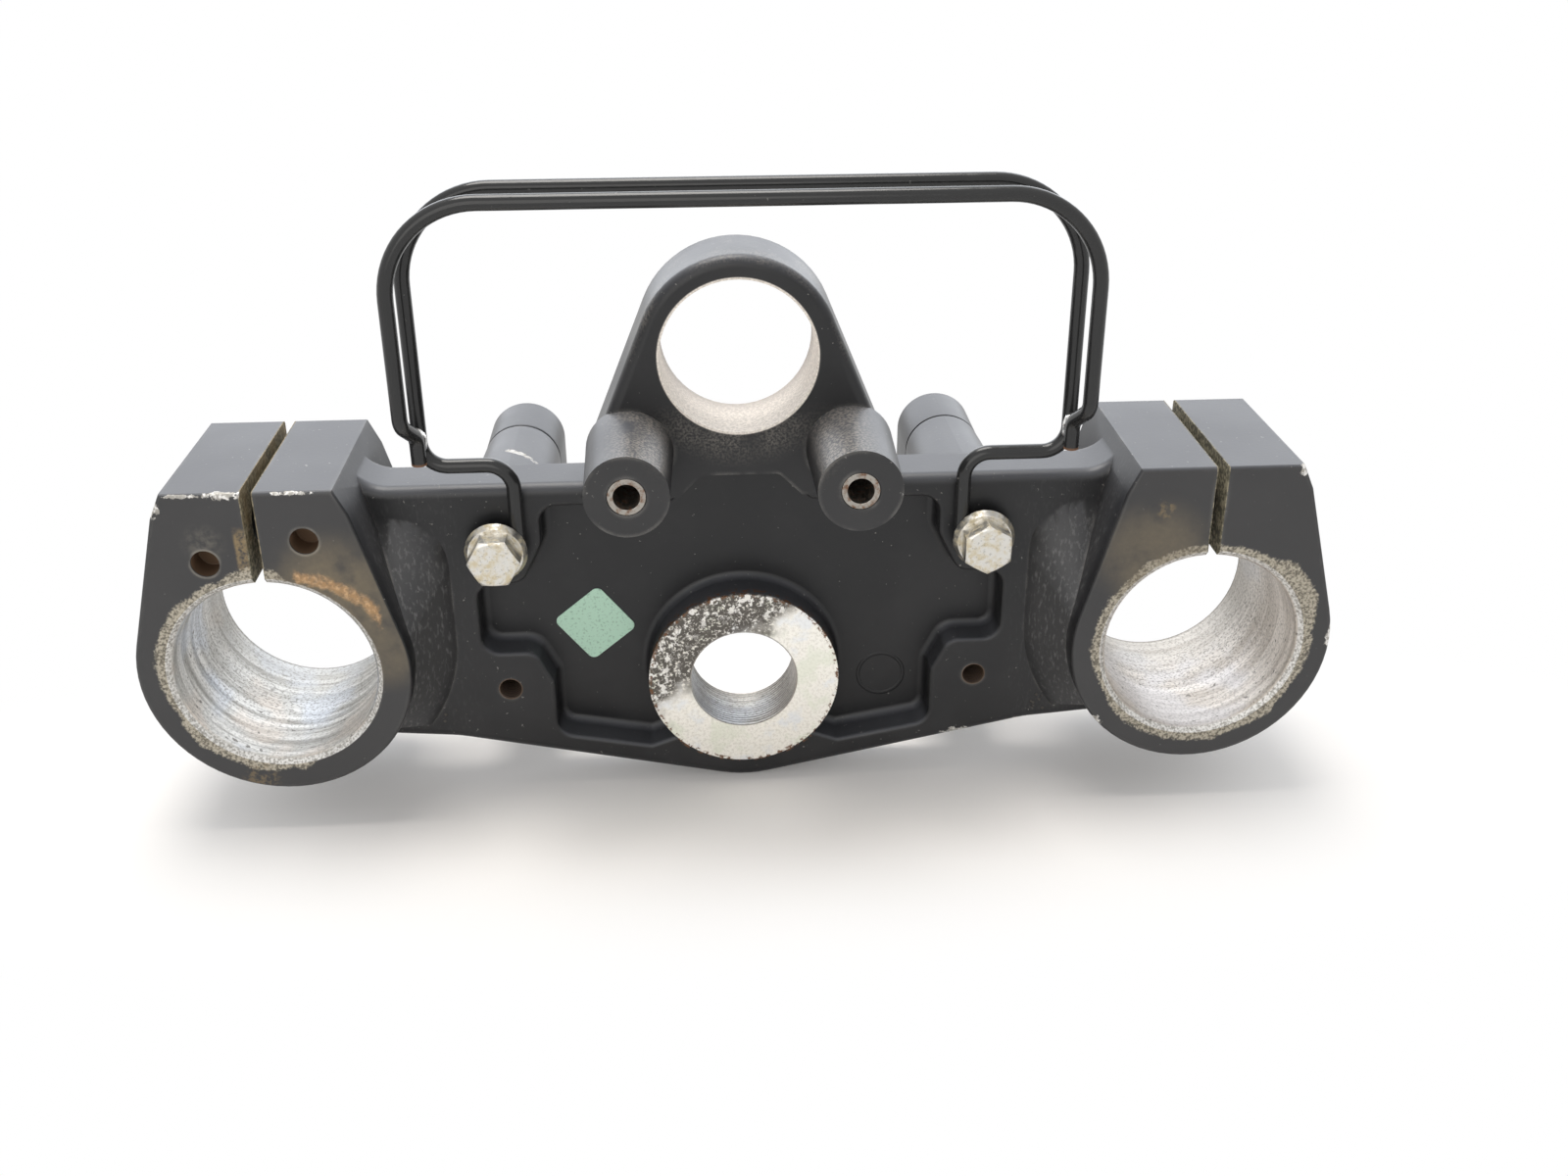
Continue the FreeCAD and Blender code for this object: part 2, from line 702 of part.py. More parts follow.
def make_insert(side):
    name = "thread_insert_" + SIDE_NAMES[side]
    place = ("%d * Sizes.lock_spacing / 2" % side, "-Sizes.lock_reach", "Sizes.lock_height")
    sleeve = cylinder(name + "_sleeve", "Sizes.insert_outer", "Sizes.insert_length", place)
    hole = cylinder(name + "_hole", "Sizes.insert_bore", "Sizes.insert_length", place)
    return cut(name, sleeve, hole)


def make_cap_screw(side, end):
    name = "cap_screw_%s_%s" % (SIDE_NAMES[side], END_NAMES[end])
    x = "%d * Sizes.riser_spacing / 2" % side
    z = "%d * (%s)" % (end, CAP_SCREW_Z[end])
    rear = "Sizes.riser_split + Sizes.cap_gap + Sizes.cap_thickness"
    seat = rear + " - Sizes.cap_screw_head_height"
    head = cylinder(name + "_head", "Sizes.cap_screw_head", "Sizes.cap_screw_head_height", (x, seat, z))
    shank = cylinder(name + "_shank", "Sizes.cap_screw", "Sizes.cap_screw_length",
                     (x, seat + " - Sizes.cap_screw_length", z))
    solid = join(name + "_solid", "Part::MultiFuse", [head, shank])
    socket = hexagon(name + "_socket", "Sizes.cap_screw_socket", "Sizes.cap_screw_head_height",
                     (x, rear + " - Sizes.cap_screw_head_height / 2", z), 0)
    return cut(name, solid, socket)


# Wire cable guide

def rounded_path(points):
    """Edges of an open path from (point, bend radius) pairs, straight runs joined by tangent arcs."""
    edges = []
    start = points[0][0]
    for i in range(1, len(points) - 1):
        here, radius = points[i]
        back = (points[i - 1][0] - here).normalize()
        forth = (points[i + 1][0] - here).normalize()
        half = back.getAngle(forth) / 2
        reach = radius / math.tan(half)
        bisector = (back + forth).normalize()
        middle = here + bisector * (radius / math.sin(half) - radius)
        edges.append(Part.LineSegment(start, here + back * reach).toShape())
        edges.append(Part.Arc(here + back * reach, middle, here + forth * reach).toShape())
        start = here + forth * reach
    edges.append(Part.LineSegment(start, points[-1][0]).toShape())
    return edges


def sweep_wire(name, edges):
    """Round wire of the sheet's diameter along a path."""
    path = doc.addObject("Part::Feature", name + "_path")
    path.Shape = Part.Wire(Part.__sortEdges__(edges))
    first = path.Shape.OrderedEdges[0]
    start = first.firstVertex(True).Point
    tangent = first.tangentAt(first.FirstParameter)
    section = doc.addObject("Part::Circle", name + "_section")
    bind(section, Radius="Sizes.wire / 2")
    section.Placement = FreeCAD.Placement(start, FreeCAD.Rotation(Vector(0, 0, 1), tangent))
    doc.recompute()
    swept = doc.addObject("Part::Sweep", name)
    swept.Sections = [section]
    swept.Spine = (path, ["Edge%d" % n for n in range(1, len(path.Shape.Edges) + 1)])
    swept.Solid = True
    swept.Frenet = False
    return swept


def wire_plane():
    """Depth of the main wire's centre line: the eyes lie on the guide pads."""
    return size("rim_setback") - size("wire") / 2


def hoop_x(side, extra=0.0):
    return side * (size("hoop_width") / 2 + extra) + size("hoop_shift")


def make_main_wire():
    """Eye, leg, shelf and hoop in one plane."""
    y = wire_plane()
    eye = size("bolt_shank") / 2 + size("wire") / 2 + size("bolt_clearance")
    eye_z = size("guide_height")
    leg_x = size("guide_spacing") / 2 - eye
    shelf = size("shelf_height")
    bend = size("shelf_bend")
    corner = size("hoop_corner")
    top = size("hoop_top")
    path = [(Vector(-leg_x, y, eye_z), 0), (Vector(-leg_x, y, shelf), bend)]
    path += [(Vector(hoop_x(-1), y, shelf), bend), (Vector(hoop_x(-1), y, top), corner)]
    path += [(Vector(hoop_x(1), y, top), corner), (Vector(hoop_x(1), y, shelf), bend)]
    path += [(Vector(leg_x, y, shelf), bend), (Vector(leg_x, y, eye_z), 0)]
    edges = rounded_path(path)
    for side in SIDES:
        centre = Vector(side * size("guide_spacing") / 2, y, eye_z)
        spread = [math.radians(a) for a in (0, -EYE_SWEEP / 2, -EYE_SWEEP)]
        on_eye = [centre + Vector(-side * math.cos(a), 0, math.sin(a)) * eye for a in spread]
        edges.append(Part.Arc(*on_eye).toShape())
    return sweep_wire("guide_main_wire", edges)


def make_front_wire():
    """Hoop in front of the main one; each foot jogs back and laps the main wire."""
    y_lap = wire_plane() - size("wire") - size("seat_gap")
    y_front = wire_plane() - size("front_gap")
    jog = size("jog_bend")
    corner = size("hoop_corner")
    top = size("hoop_top") - size("front_drop")
    low = size("front_jog") - (wire_plane() - size("seat_gap") - y_front) / 2
    legs = []
    for side in SIDES:
        inner = hoop_x(side)
        outer = hoop_x(side, size("front_extra"))
        leg = [(Vector(inner, y_lap, size("stub_end")), 0), (Vector(inner, y_lap, low), jog)]
        leg += [(Vector(outer, y_front, size("front_jog")), jog), (Vector(outer, y_front, top), corner)]
        legs.append(leg)
    return sweep_wire("guide_front_wire", rounded_path(legs[0] + legs[1][::-1]))


# Inspection label on the pocket floor

def make_label():
    body = doc.addObject("PartDesign::Body", "inspection_label")
    floor = "Sizes.rim_setback + Sizes.pocket_depth - Sizes.label_thickness"
    sketch = new_sketch(body, "label_outline", depth=floor)
    half = size("label_side") / math.sqrt(2)
    x = -size("label_x")
    z = size("label_height")
    tilt = math.radians(LABEL_TURN)
    points = []
    for quarter in range(4):
        turn = tilt + quarter * math.pi / 2
        points.append((x + half * math.cos(turn), z + half * math.sin(turn), size("label_corner")))
    draw_outline(sketch, points)
    pad(body, sketch, "Sizes.label_thickness")
    return body


def main():
    pieces = [make_yoke()]
    pieces += [make_cap(side) for side in SIDES]
    screws = [make_cap_screw(side, end) for side in SIDES for end in SIDES]
    pieces.append(join("riser_cap_screws", "Part::Compound", screws))
    inserts = [make_insert(side) for side in SIDES]
    pieces.append(join("thread_inserts", "Part::Compound", inserts))
    bolts = [make_guide_bolt(side, BOLT_TURN[side]) for side in SIDES]
    pieces.append(join("guide_bolts", "Part::Compound", bolts))
    pieces += [make_main_wire(), make_front_wire(), make_label()]
    doc.recompute()

    for obj in doc.Objects:
        if "Invalid" in obj.State or "Error" in obj.State:
            raise RuntimeError("%s failed: %s" % (obj.Name, obj.State))
    for piece in pieces:
        if piece.Shape.isNull() or not piece.Shape.isValid():
            raise RuntimeError("%s has no valid shape" % piece.Label)
    os.makedirs("parts", exist_ok=True)
    for piece in pieces:
        piece.Shape.exportStep("parts/%s.step" % piece.Label)
        print(piece.Label, len(piece.Shape.Solids), round(piece.Shape.Volume, 1))


main()
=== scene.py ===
import json
import math

import bpy
from mathutils import Matrix, Vector


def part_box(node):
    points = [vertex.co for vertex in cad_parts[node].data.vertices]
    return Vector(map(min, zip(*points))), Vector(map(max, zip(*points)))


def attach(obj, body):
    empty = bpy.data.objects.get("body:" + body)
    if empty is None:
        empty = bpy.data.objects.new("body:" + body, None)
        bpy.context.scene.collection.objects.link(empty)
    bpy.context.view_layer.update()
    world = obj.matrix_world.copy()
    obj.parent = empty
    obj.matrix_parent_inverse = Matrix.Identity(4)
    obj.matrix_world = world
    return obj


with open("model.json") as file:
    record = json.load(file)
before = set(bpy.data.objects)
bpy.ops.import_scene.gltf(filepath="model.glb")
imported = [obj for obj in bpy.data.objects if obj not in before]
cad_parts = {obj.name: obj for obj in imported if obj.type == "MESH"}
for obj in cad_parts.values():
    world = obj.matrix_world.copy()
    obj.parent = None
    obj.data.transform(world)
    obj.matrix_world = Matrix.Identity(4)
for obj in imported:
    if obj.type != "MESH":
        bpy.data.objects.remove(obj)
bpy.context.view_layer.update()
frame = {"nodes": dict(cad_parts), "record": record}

# Looks of a motorcycle upper triple clamp. Metres, in the part's own frame:
# the stem axis runs along Y through the origin and the underside faces -Y, towards the camera.

MM = 0.001


def point(x, y, z):
    """A place given in millimetres."""
    return Vector((x, y, z)) * MM


# Places from the record
NODES = frame["nodes"]
MOUNTS = {mount["name"]: mount for mount in frame["record"]["mounts"]}
FORK_LEFT = Vector(MOUNTS["fork_clamp_left"]["pos_m"])
FORK_RIGHT = Vector(MOUNTS["fork_clamp_right"]["pos_m"])
FORK_RADIUS = MOUNTS["fork_clamp_left"]["dims"]["r_mm"] * MM
STEM_RADIUS = MOUNTS["stem_bore"]["dims"]["r_mm"] * MM
RING_CENTRE = Vector(MOUNTS["lock_ring"]["pos_m"])
RING_RADIUS = MOUNTS["lock_ring"]["dims"]["r_mm"] * MM


def pair(name):
    """Centres of the two holes of a mount that lie side by side."""
    mount = MOUNTS[name]
    reach = Vector((mount["dims"]["spacing_x_mm"] / 2 * MM, 0, 0))
    return [Vector(mount["pos_m"]) - reach, Vector(mount["pos_m"]) + reach]


LOCK_BOSSES = pair("lock_screws")
PAD_HOLES = pair("pad_holes")
PAD_HOLE_RADIUS = MOUNTS["pad_holes"]["dims"]["hole_r_mm"] * MM

# Places on the yoke. A span of two values runs from the first to the second.
STEM_AXIS = Vector((0, 0, 0))
SEAT_RADIUS = 21.7 * MM
BORE_CHAMFER = 1.2 * MM
CLAMP_FRONT = -13.0 * MM
CLAMP_BACK = 29.3 * MM
SLOT_HALF = 1.2 * MM
SLOT_FOOT = (28 * MM, 30 * MM)
LOCK_BOSS_RADIUS = 9.4 * MM
FACE_HOLES = (point(-111.4, 0, 39.0), point(-90.6, 0, 43.5))
FACE_HOLE_RADIUS = 2.95 * MM
FACE_HOLE_REACH = 14 * MM
THREAD_PITCH = 1.0 * MM
PLATE_TO_CLAMP = (40 * MM, 60 * MM)
WEB_ACROSS = (66 * MM, 76 * MM)
WEB_DEPTH = (-7 * MM, -1.5 * MM)
MARK_CENTRE = point(32.5, 0, -4.7)
MARK_RADIUS = 5.3 * MM
MARK_HALF_WIDTH = 0.2 * MM
DIMPLES = (point(-69.6, 0, -8.0), point(70.1, 0, -8.4))
DIMPLE_CELL = 1.5 * MM

# Grit on the lock bosses' inner sides, on the ring's outside and under the ring, and its darker way
# to the back of the ring's hole
GRIT_ACROSS = (30 * MM, 21 * MM)
GRIT_ON_RING = (72 * MM, 84 * MM)
GRIT_UNDER_RING = (68 * MM, 60 * MM)
GRIT_SHARE_ON_RING = 0.4
GRIT_SHARE_UNDER_RING = 0.5
RING_TO_BACK = (9 * MM, 22 * MM)

# Chips in the paint: centre, half length along X and half width
CHIPS = (
    (point(-105.6, -13, 54.4), 4.2 * MM, 1.1 * MM),
    (point(-114.5, -13, 54.2), 3.0 * MM, 0.5 * MM),
    (point(-92.0, -13, 54.4), 4.0 * MM, 0.5 * MM),
    (point(-120.0, -12.6, 51.5), 1.2 * MM, 1.9 * MM),
    (point(118.8, -12.8, 53.6), 1.4 * MM, 1.3 * MM),
    (point(130.0, -12.4, 14.0), 1.0 * MM, 3.4 * MM),
    (point(78.6, -12.8, -6.6), 1.2 * MM, 1.6 * MM),
    (point(50.0, 2.0, -17.0), 3.2 * MM, 1.2 * MM),
    (point(66.0, 2.0, -14.6), 4.0 * MM, 0.8 * MM),
)

# Dirt on the clamp faces: centre, reach and strength
BROWN_SPOTS = ((point(-86, -13, 31), 17 * MM, 1.0), (point(-77, -13, 18), 12 * MM, 0.7),
               (point(88, -13, 35), 15 * MM, 0.75))
GOLD_SPOTS = ((point(89.7, -13, 45.2), 2.6 * MM, 0.45), (point(-107.5, -13, -13.5), 5 * MM, 0.4))
HAZE_SPOT = point(-111, -13, 43.5)
HAZE_REACH = 5.5 * MM
GOLD_ACROSS = (-104.4 * MM, -102 * MM)
GOLD_HEIGHT = (39 * MM, 45 * MM)

# Earth-coloured streak beside the left bore: its ends along X, its way from the bore at each end,
# the height where it stops, and how solid it is
STREAK_LEFT = -95.0 * MM
STREAK_RIGHT = -76.0 * MM
STREAK_NEAR = 2.2 * MM
STREAK_FAR = 6.0 * MM
STREAK_FOOT = (16 * MM, 20 * MM)
STREAK_BODY = 0.6

# Worn ring round each fork bore: where it is thin, where it is wide and by how much, then how uneven,
# wide and broken it is all round
THIN_RING = (-93 * MM, -60 * MM)
WIDE_RING = point(121.5, -13, 26)
WIDE_RING_SHAPE = (1, 1, 0.6)
RING_SHIFT = 2.6 * MM
RING_UNEVEN = 5 * MM
RING_WIDTH = 3.0 * MM
RING_BREAKUP = 0.6

# Stem seat: the lean of the corroded side, and the share of metal shine and of grime in the threads
CORROSION_LEAN = 0.8
SEAT_SHINE = 0.9
THREAD_GRIME = 0.45

# How far a ragged noise, which lies round its middle, tears the outline of a mark
NOISE_MIDDLE = 0.5
CHIP_TEAR = 2.4
SCRATCH_TEAR = 4.0
STREAK_TEAR = 1.2

# Scratch on the left riser
RISER_SCRATCH = point(-50.2, 31.0, 43.8)
SCRATCH_ALONG = Vector((0.829, -0.559, 0))
SCRATCH_ACROSS = Vector((0.559, 0.829, 0))
SCRATCH_HALF_LENGTH = 5.5 * MM
SCRATCH_HALF_WIDTH = 1.1 * MM
RISER_TOP = (36 * MM, 39 * MM)

# Edge rounds, the radius within which edges wear, and the radius of the painted highlight along the rims
YOKE_EDGE = 0.5 * MM
CAP_EDGE = 0.6 * MM
HARDWARE_EDGE = 0.2 * MM
INSERT_EDGE = 0.15 * MM
EDGE_SEGMENTS = 2
EDGE_ANGLE = math.radians(32)
FLAT_ANGLE = math.radians(0.3)
MERGE_WITHIN = 0.001 * MM
WEAR_RADIUS = 0.9 * MM
RIM_HIGHLIGHT_RADIUS = 1.8 * MM
EDGE_SAMPLES = 6

# Wires, the weld beads at the hoop's feet and the rust on the front wire's cut ends
WIRE_DIAMETER = 3.2 * MM
WELD_RADII = (1.75 * MM, 1.9 * MM, 3.2 * MM)
WELD_RISE = 4.2 * MM
WELD_SEGMENTS = 28
WELD_RINGS = 18
WELD_LUMP = 1.6 * MM
WELD_ROUGHNESS = 0.8 * MM
CUT_RUST = 0.7 * MM

# Camera, fitted to the photo's 1600 x 1200 frame
IMAGE_WIDTH = 1600
SENSOR = 36.0
FOCAL_PIXELS = 1606.33
CAMERA_PLACE = point(-8.918, -313.216, 179.241)
CAMERA_YAW = 0.058
CAMERA_PITCH = 0.462
CAMERA_ROLL = -0.004
CLIP_NEAR = 0.01
CLIP_FAR = 50

# Linear colours
PAINT_DARK = (0.011, 0.0112, 0.0125, 1)
PAINT_WORN = (0.019, 0.019, 0.0205, 1)
# Painted sheen: colour that lightens the paint on faces that look up
PAINTED_TOP_SHEEN = (0.100, 0.104, 0.117, 1)
# Painted light on the clamp faces that look forward, and the dusty haze on the webs
FACE_LIGHT_AND_WEB_HAZE = (0.074, 0.074, 0.076, 1)
# Dust, and also the painted highlight along the rims of the casting
DUST_AND_RIM_HIGHLIGHT = (0.36, 0.35, 0.33, 1)
SCUFF = (0.27, 0.27, 0.27, 1)
GRIT_DARK = (0.36, 0.33, 0.29, 1)
GRIT_PALE = (0.92, 0.86, 0.79, 1)
GRIT_BACK = (0.30, 0.27, 0.25, 1)
BARE = (0.80, 0.79, 0.77, 1)
BARE_DULL = (0.36, 0.345, 0.315, 1)
SCRATCH_WHITE = (0.62, 0.61, 0.60, 1)
HALO_DARK = (0.16, 0.145, 0.115, 1)
# Pale sand of the worn rings, and also the painted highlight on the face holes' lips
HALO_PALE_AND_LIP_HIGHLIGHT = (0.50, 0.46, 0.375, 1)
BORE_DULL = (0.32, 0.31, 0.285, 1)
BORE_BRIGHT = (0.76, 0.745, 0.715, 1)
BORE_COOL = (0.56, 0.61, 0.70, 1)
BORE_WARM = (0.74, 0.62, 0.52, 1)
BORE_PIT = (0.12, 0.11, 0.095, 1)
SEAT_PALE = (0.96, 0.935, 0.87, 1)
SEAT_GREY = (0.66, 0.63, 0.56, 1)
SEAT_GREEN = (0.76, 0.80, 0.66, 1)
SEAT_COOL = (0.78, 0.82, 0.88, 1)
SEAT_CRUST = (0.90, 0.89, 0.86, 1)
CORRODED = (0.075, 0.066, 0.056, 1)
EARTH = (0.42, 0.26, 0.13, 1)
EARTH_PALE = (0.62, 0.41, 0.23, 1)
HAZE = (0.135, 0.128, 0.112, 1)
BROWN = (0.20, 0.166, 0.112, 1)
GOLD = (0.33, 0.24, 0.12, 1)
SAND_DARK = (0.095, 0.088, 0.062, 1)
SAND_PALE = (0.30, 0.27, 0.19, 1)
HOLE_BROWN = (0.16, 0.10, 0.06, 1)
RUST = (0.17, 0.085, 0.045, 1)
ZINC = (0.68, 0.66, 0.615, 1)
ZINC_STAINED = (0.60, 0.53, 0.38, 1)
STEEL = (0.36, 0.335, 0.30, 1)
DARK_STEEL = (0.09, 0.09, 0.095, 1)
DARK_STEEL_STAINED = (0.05, 0.045, 0.04, 1)
WIRE = (0.022, 0.0225, 0.023, 1)
LABEL_GREEN = (0.47, 0.71, 0.57, 1)
LABEL_SPECK = (0.17, 0.32, 0.24, 1)
FLOOR = (0.95, 0.92, 0.89, 1)
WHITE = (1, 1, 1, 1)
WARM_LIGHT = (1.0, 0.97, 0.93)
COOL_LIGHT = (0.88, 0.93, 1.0)

# Mirror strength of the coats
PAINT_SPECULAR = 0.4
WIRE_SPECULAR = 0.4
USUAL_SPECULAR = 0.5

# Floor: its glow is faint near the part and full where the shadow ends
FLOOR_SIZE = 8
FLOOR_GLOW = 0.1
GLOW_FROM = 0.02
GLOW_FULL = 0.075
GLOW_SHAPE = (0.3, 1, 1)

# Studio: strength of the white surround as a light and as it is seen
SURROUND_LIGHT = 0.42
SURROUND_SEEN = 1.0

# Lamps: name, place, target, width, power in watts and colour
LAMPS = (
    ("rear_softbox", (0.05, 0.95, 0.48), (0, 0, 0.05), 1.6, 9, COOL_LIGHT),
    ("top_key", (-0.10, 0.15, 0.95), (0, 0, 0.03), 0.6, 8, WARM_LIGHT),
    ("front_fill", (-0.25, -0.9, 0.3), (0, 0, 0.03), 0.8, 2.2, WARM_LIGHT),
)


# Node graphs

class Graph:
    """Short forms for the nodes of one tree. A mask runs from 0 to 1."""

    def __init__(self, tree):
        self.tree = tree
        tree.nodes.clear()

    def node(self, kind, inputs=None, **settings):
        made = self.tree.nodes.new(kind)
        for name, value in settings.items():
            setattr(made, name, value)
        for socket, value in (inputs or {}).items():
            self.feed(made.inputs[socket], value)
        return made

    def feed(self, socket, value):
        """Links a socket to another one, or sets its constant."""
        if isinstance(value, bpy.types.NodeSocket):
            self.tree.links.new(value, socket)
        else:
            socket.default_value = value

    def calc(self, operation, a, b=0.0, clamp=False):
        made = self.node("ShaderNodeMath", {0: a, 1: b}, operation=operation, use_clamp=clamp)
        return made.outputs[0]

    def plus(self, a, b):
        return self.calc("ADD", a, b)

    def minus(self, a, b):
        return self.calc("SUBTRACT", a, b)

    def times(self, a, b):
        return self.calc("MULTIPLY", a, b)

    def unsigned(self, a):
        return self.calc("ABSOLUTE", a)

    def step(self, value, start, full):
        """Mask that rises smoothly from 0 at start to 1 at full; full may lie below start."""
        inputs = {"Value": value, "From Min": start, "From Max": full}
        made = self.node("ShaderNodeMapRange", inputs, interpolation_type="SMOOTHSTEP", clamp=True)
        return made.outputs["Result"]

    def both(self, *masks):
        found = masks[0]
        for mask in masks[1:]:
            found = self.calc("MULTIPLY", found, mask, clamp=True)
        return found

    def either(self, *masks):
        found = masks[0]
        for mask in masks[1:]:
            found = self.calc("MAXIMUM", found, mask)
        return found

    def without(self, mask):
        return self.calc("SUBTRACT", 1.0, mask, clamp=True)

    def window(self, value, low, high, soft):
        """1 between low and high, falling to 0 over soft on both sides."""
        return self.both(self.step(value, low - soft, low), self.step(value, high + soft, high))

    def tint(self, mask, below, above, strength=None):
        """Colour between two colours. Sockets 6 and 7 of the node hold colours."""
        share = mask if strength is None else self.both(mask, strength)
        made = self.node("ShaderNodeMix", {0: share, 6: below, 7: above}, data_type="RGBA")
        return made.outputs[2]

    def mix(self, mask, below, above):
        """Number between two numbers. Sockets 2 and 3 of the node hold numbers."""
        made = self.node("ShaderNodeMix", {0: mask, 2: below, 3: above}, data_type="FLOAT")
        return made.outputs[0]

    def seen_ray(self):
        """1 for what the camera sees, directly, mirrored or through glass."""
        path = self.node("ShaderNodeLightPath").outputs
        return self.either(path["Is Camera Ray"], path["Is Glossy Ray"], path["Is Transmission Ray"])


class Finish(Graph):
    """A procedural surface: each cover lies over the layers before it."""

    def __init__(self, name, colour=None, roughness=None, metallic=0.0):
        self.material = bpy.data.materials.new(name)
        self.material.use_nodes = True
        super().__init__(self.material.node_tree)
        self.place = self.node("ShaderNodeTexCoord").outputs["Object"]
        self.x, self.y, self.z = self.node("ShaderNodeSeparateXYZ", {0: self.place}).outputs
        self.normal = self.node("ShaderNodeNewGeometry").outputs["Normal"]
        facing = self.node("ShaderNodeSeparateXYZ", {0: self.normal}).outputs
        self.front = self.step(facing["Y"], start=-0.75, full=-0.95)
        self.up = self.step(facing["Z"], start=0.15, full=0.85)
        self.colour = colour
        self.roughness = roughness
        self.metallic = metallic
        self.relief = None

    def vector(self, operation, a, b=None):
        inputs = {0: a} if b is None else {0: a, 1: b}
        return self.node("ShaderNodeVectorMath", inputs, operation=operation).outputs

    def noise(self, grain, detail=3.0, roughness=0.55, stretch=None):
        """Noise with features about grain metres across; stretch below 1 draws them out."""
        place = self.place if stretch is None else self.vector("MULTIPLY", self.place, stretch)[0]
        inputs = {"Vector": place, "Scale": 1 / grain, "Detail": detail, "Roughness": roughness}
        return self.node("ShaderNodeTexNoise", inputs).outputs["Fac"]

    def specks(self, grain, start, full, detail=2.0, stretch=None):
        return self.step(self.noise(grain, detail, stretch=stretch), start, full)

    def distance(self, centre, scale=(1, 1, 1)):
        """Distance from a point, with each axis scaled."""
        moved = self.vector("SUBTRACT", self.place, centre)[0]
        sized = self.vector("MULTIPLY", moved, scale)[0]
        return self.vector("LENGTH", sized)["Value"]

    def axis_distance(self, centre):
        """Distance from the line along Y through centre."""
        return self.distance(centre, (1, 0, 1))

    def inside(self, centres, radius, soft=0.15 * MM):
        """1 within a radius of any of the lines along Y through the centres."""
        discs = [self.step(self.axis_distance(centre), start=radius + 2 * soft, full=radius + soft)
                 for centre in centres]
        return self.either(*discs)

    def edge(self, radius):
        """How far a rounded normal turns from the true one: 0 on flat faces, rising towards edges."""
        soft = self.node("ShaderNodeBevel", {"Radius": radius}, samples=EDGE_SAMPLES).outputs[0]
        return self.without(self.vector("DOT_PRODUCT", soft, self.normal)["Value"])

    def worn_edge(self, ragged, start, full):
        """Sharp edges, broken up by a ragged noise."""
        sharp = self.step(self.edge(WEAR_RADIUS), start=0.03, full=0.09)
        return self.both(sharp, self.step(ragged, start, full))

    def cover(self, mask, colour, strength=None, roughness=None, metallic=None):
        share = mask if strength is None else self.both(mask, strength)
        self.colour = self.tint(share, self.colour, colour)
        if roughness is not None:
            self.roughness = self.mix(share, self.roughness, roughness)
        if metallic is not None:
            self.metallic = self.mix(share, self.metallic, metallic)

    def emboss(self, height, depth, strength):
        inputs = {"Height": height, "Distance": depth, "Strength": strength}
        if self.relief is not None:
            inputs["Normal"] = self.relief
        self.relief = self.node("ShaderNodeBump", inputs).outputs[0]

    def done(self, specular=USUAL_SPECULAR):
        inputs = {"Base Color": self.colour, "Roughness": self.roughness,
                  "Metallic": self.metallic, "Specular IOR Level": specular}
        if self.relief is not None:
            inputs["Normal"] = self.relief
        shader = self.node("ShaderNodeBsdfPrincipled", inputs)
        self.node("ShaderNodeOutputMaterial", {"Surface": shader.outputs[0]})
        return self.material


# Paint

def painted(name):
    """Satin black paint over a cast skin, with a painted sheen that lightens faces that look up."""
    finish = Finish(name)
    broad = finish.noise(grain=22 * MM, detail=4.0)
    finish.colour = finish.tint(finish.step(broad, start=0.35, full=0.7), PAINT_DARK, PAINT_WORN)
    finish.roughness = finish.mix(finish.step(broad, start=0.3, full=0.7), below=0.36, above=0.44)
    # Painted sheen: faces that look up are lightened towards a pale blue-grey
    top_sheen = finish.both(finish.up, finish.mix(broad, below=0.5, above=0.9))
    finish.cover(top_sheen, PAINTED_TOP_SHEEN)
    dust = finish.specks(grain=1.0 * MM, start=0.71, full=0.76)
    finish.cover(dust, DUST_AND_RIM_HIGHLIGHT, strength=0.45)
    finish.emboss(finish.noise(grain=0.9 * MM), depth=0.05 * MM, strength=0.4)
    return finish


def add_face_light_and_web_haze(finish):
    """Painted light that lightens the clamp faces, and a dusty haze with scuffs on the flared webs. Gives
    the mask of the faces.
    """
    foremost = finish.step(finish.y, start=CLAMP_FRONT + 2 * MM, full=CLAMP_FRONT + 1 * MM)
    on_face = finish.both(finish.front, foremost)
    across = finish.unsigned(finish.x)
    # Painted light: faces that look forward are lightened, more on the clamps than on the plate
    face_lightening = finish.mix(finish.step(across, *PLATE_TO_CLAMP), below=0.25, above=0.5)
    finish.cover(finish.both(on_face, face_lightening), FACE_LIGHT_AND_WEB_HAZE)
    web = finish.both(finish.window(across, *WEB_ACROSS, soft=9 * MM),
                      finish.window(finish.y, *WEB_DEPTH, soft=4 * MM))
    # Dusty haze on the webs, in the same colour as the painted light on the faces
    finish.cover(web, FACE_LIGHT_AND_WEB_HAZE, strength=0.4)
    streaks = finish.specks(grain=0.7 * MM, start=0.50, full=0.74, detail=3.0, stretch=(1, 1, 0.35))
    finish.cover(finish.both(web, streaks), SCUFF, strength=0.32)
    return on_face


def add_rim_highlight(finish, cloudy):
    """Painted highlight along the rims of the casting, broken into cloudy patches."""
    rim = finish.step(finish.edge(RIM_HIGHLIGHT_RADIUS), start=0.02, full=0.16)
    # Painted highlight: rims lightened in cloudy patches
    finish.cover(finish.both(rim, finish.step(cloudy, start=0.40, full=0.68)), DUST_AND_RIM_HIGHLIGHT, strength=0.3)


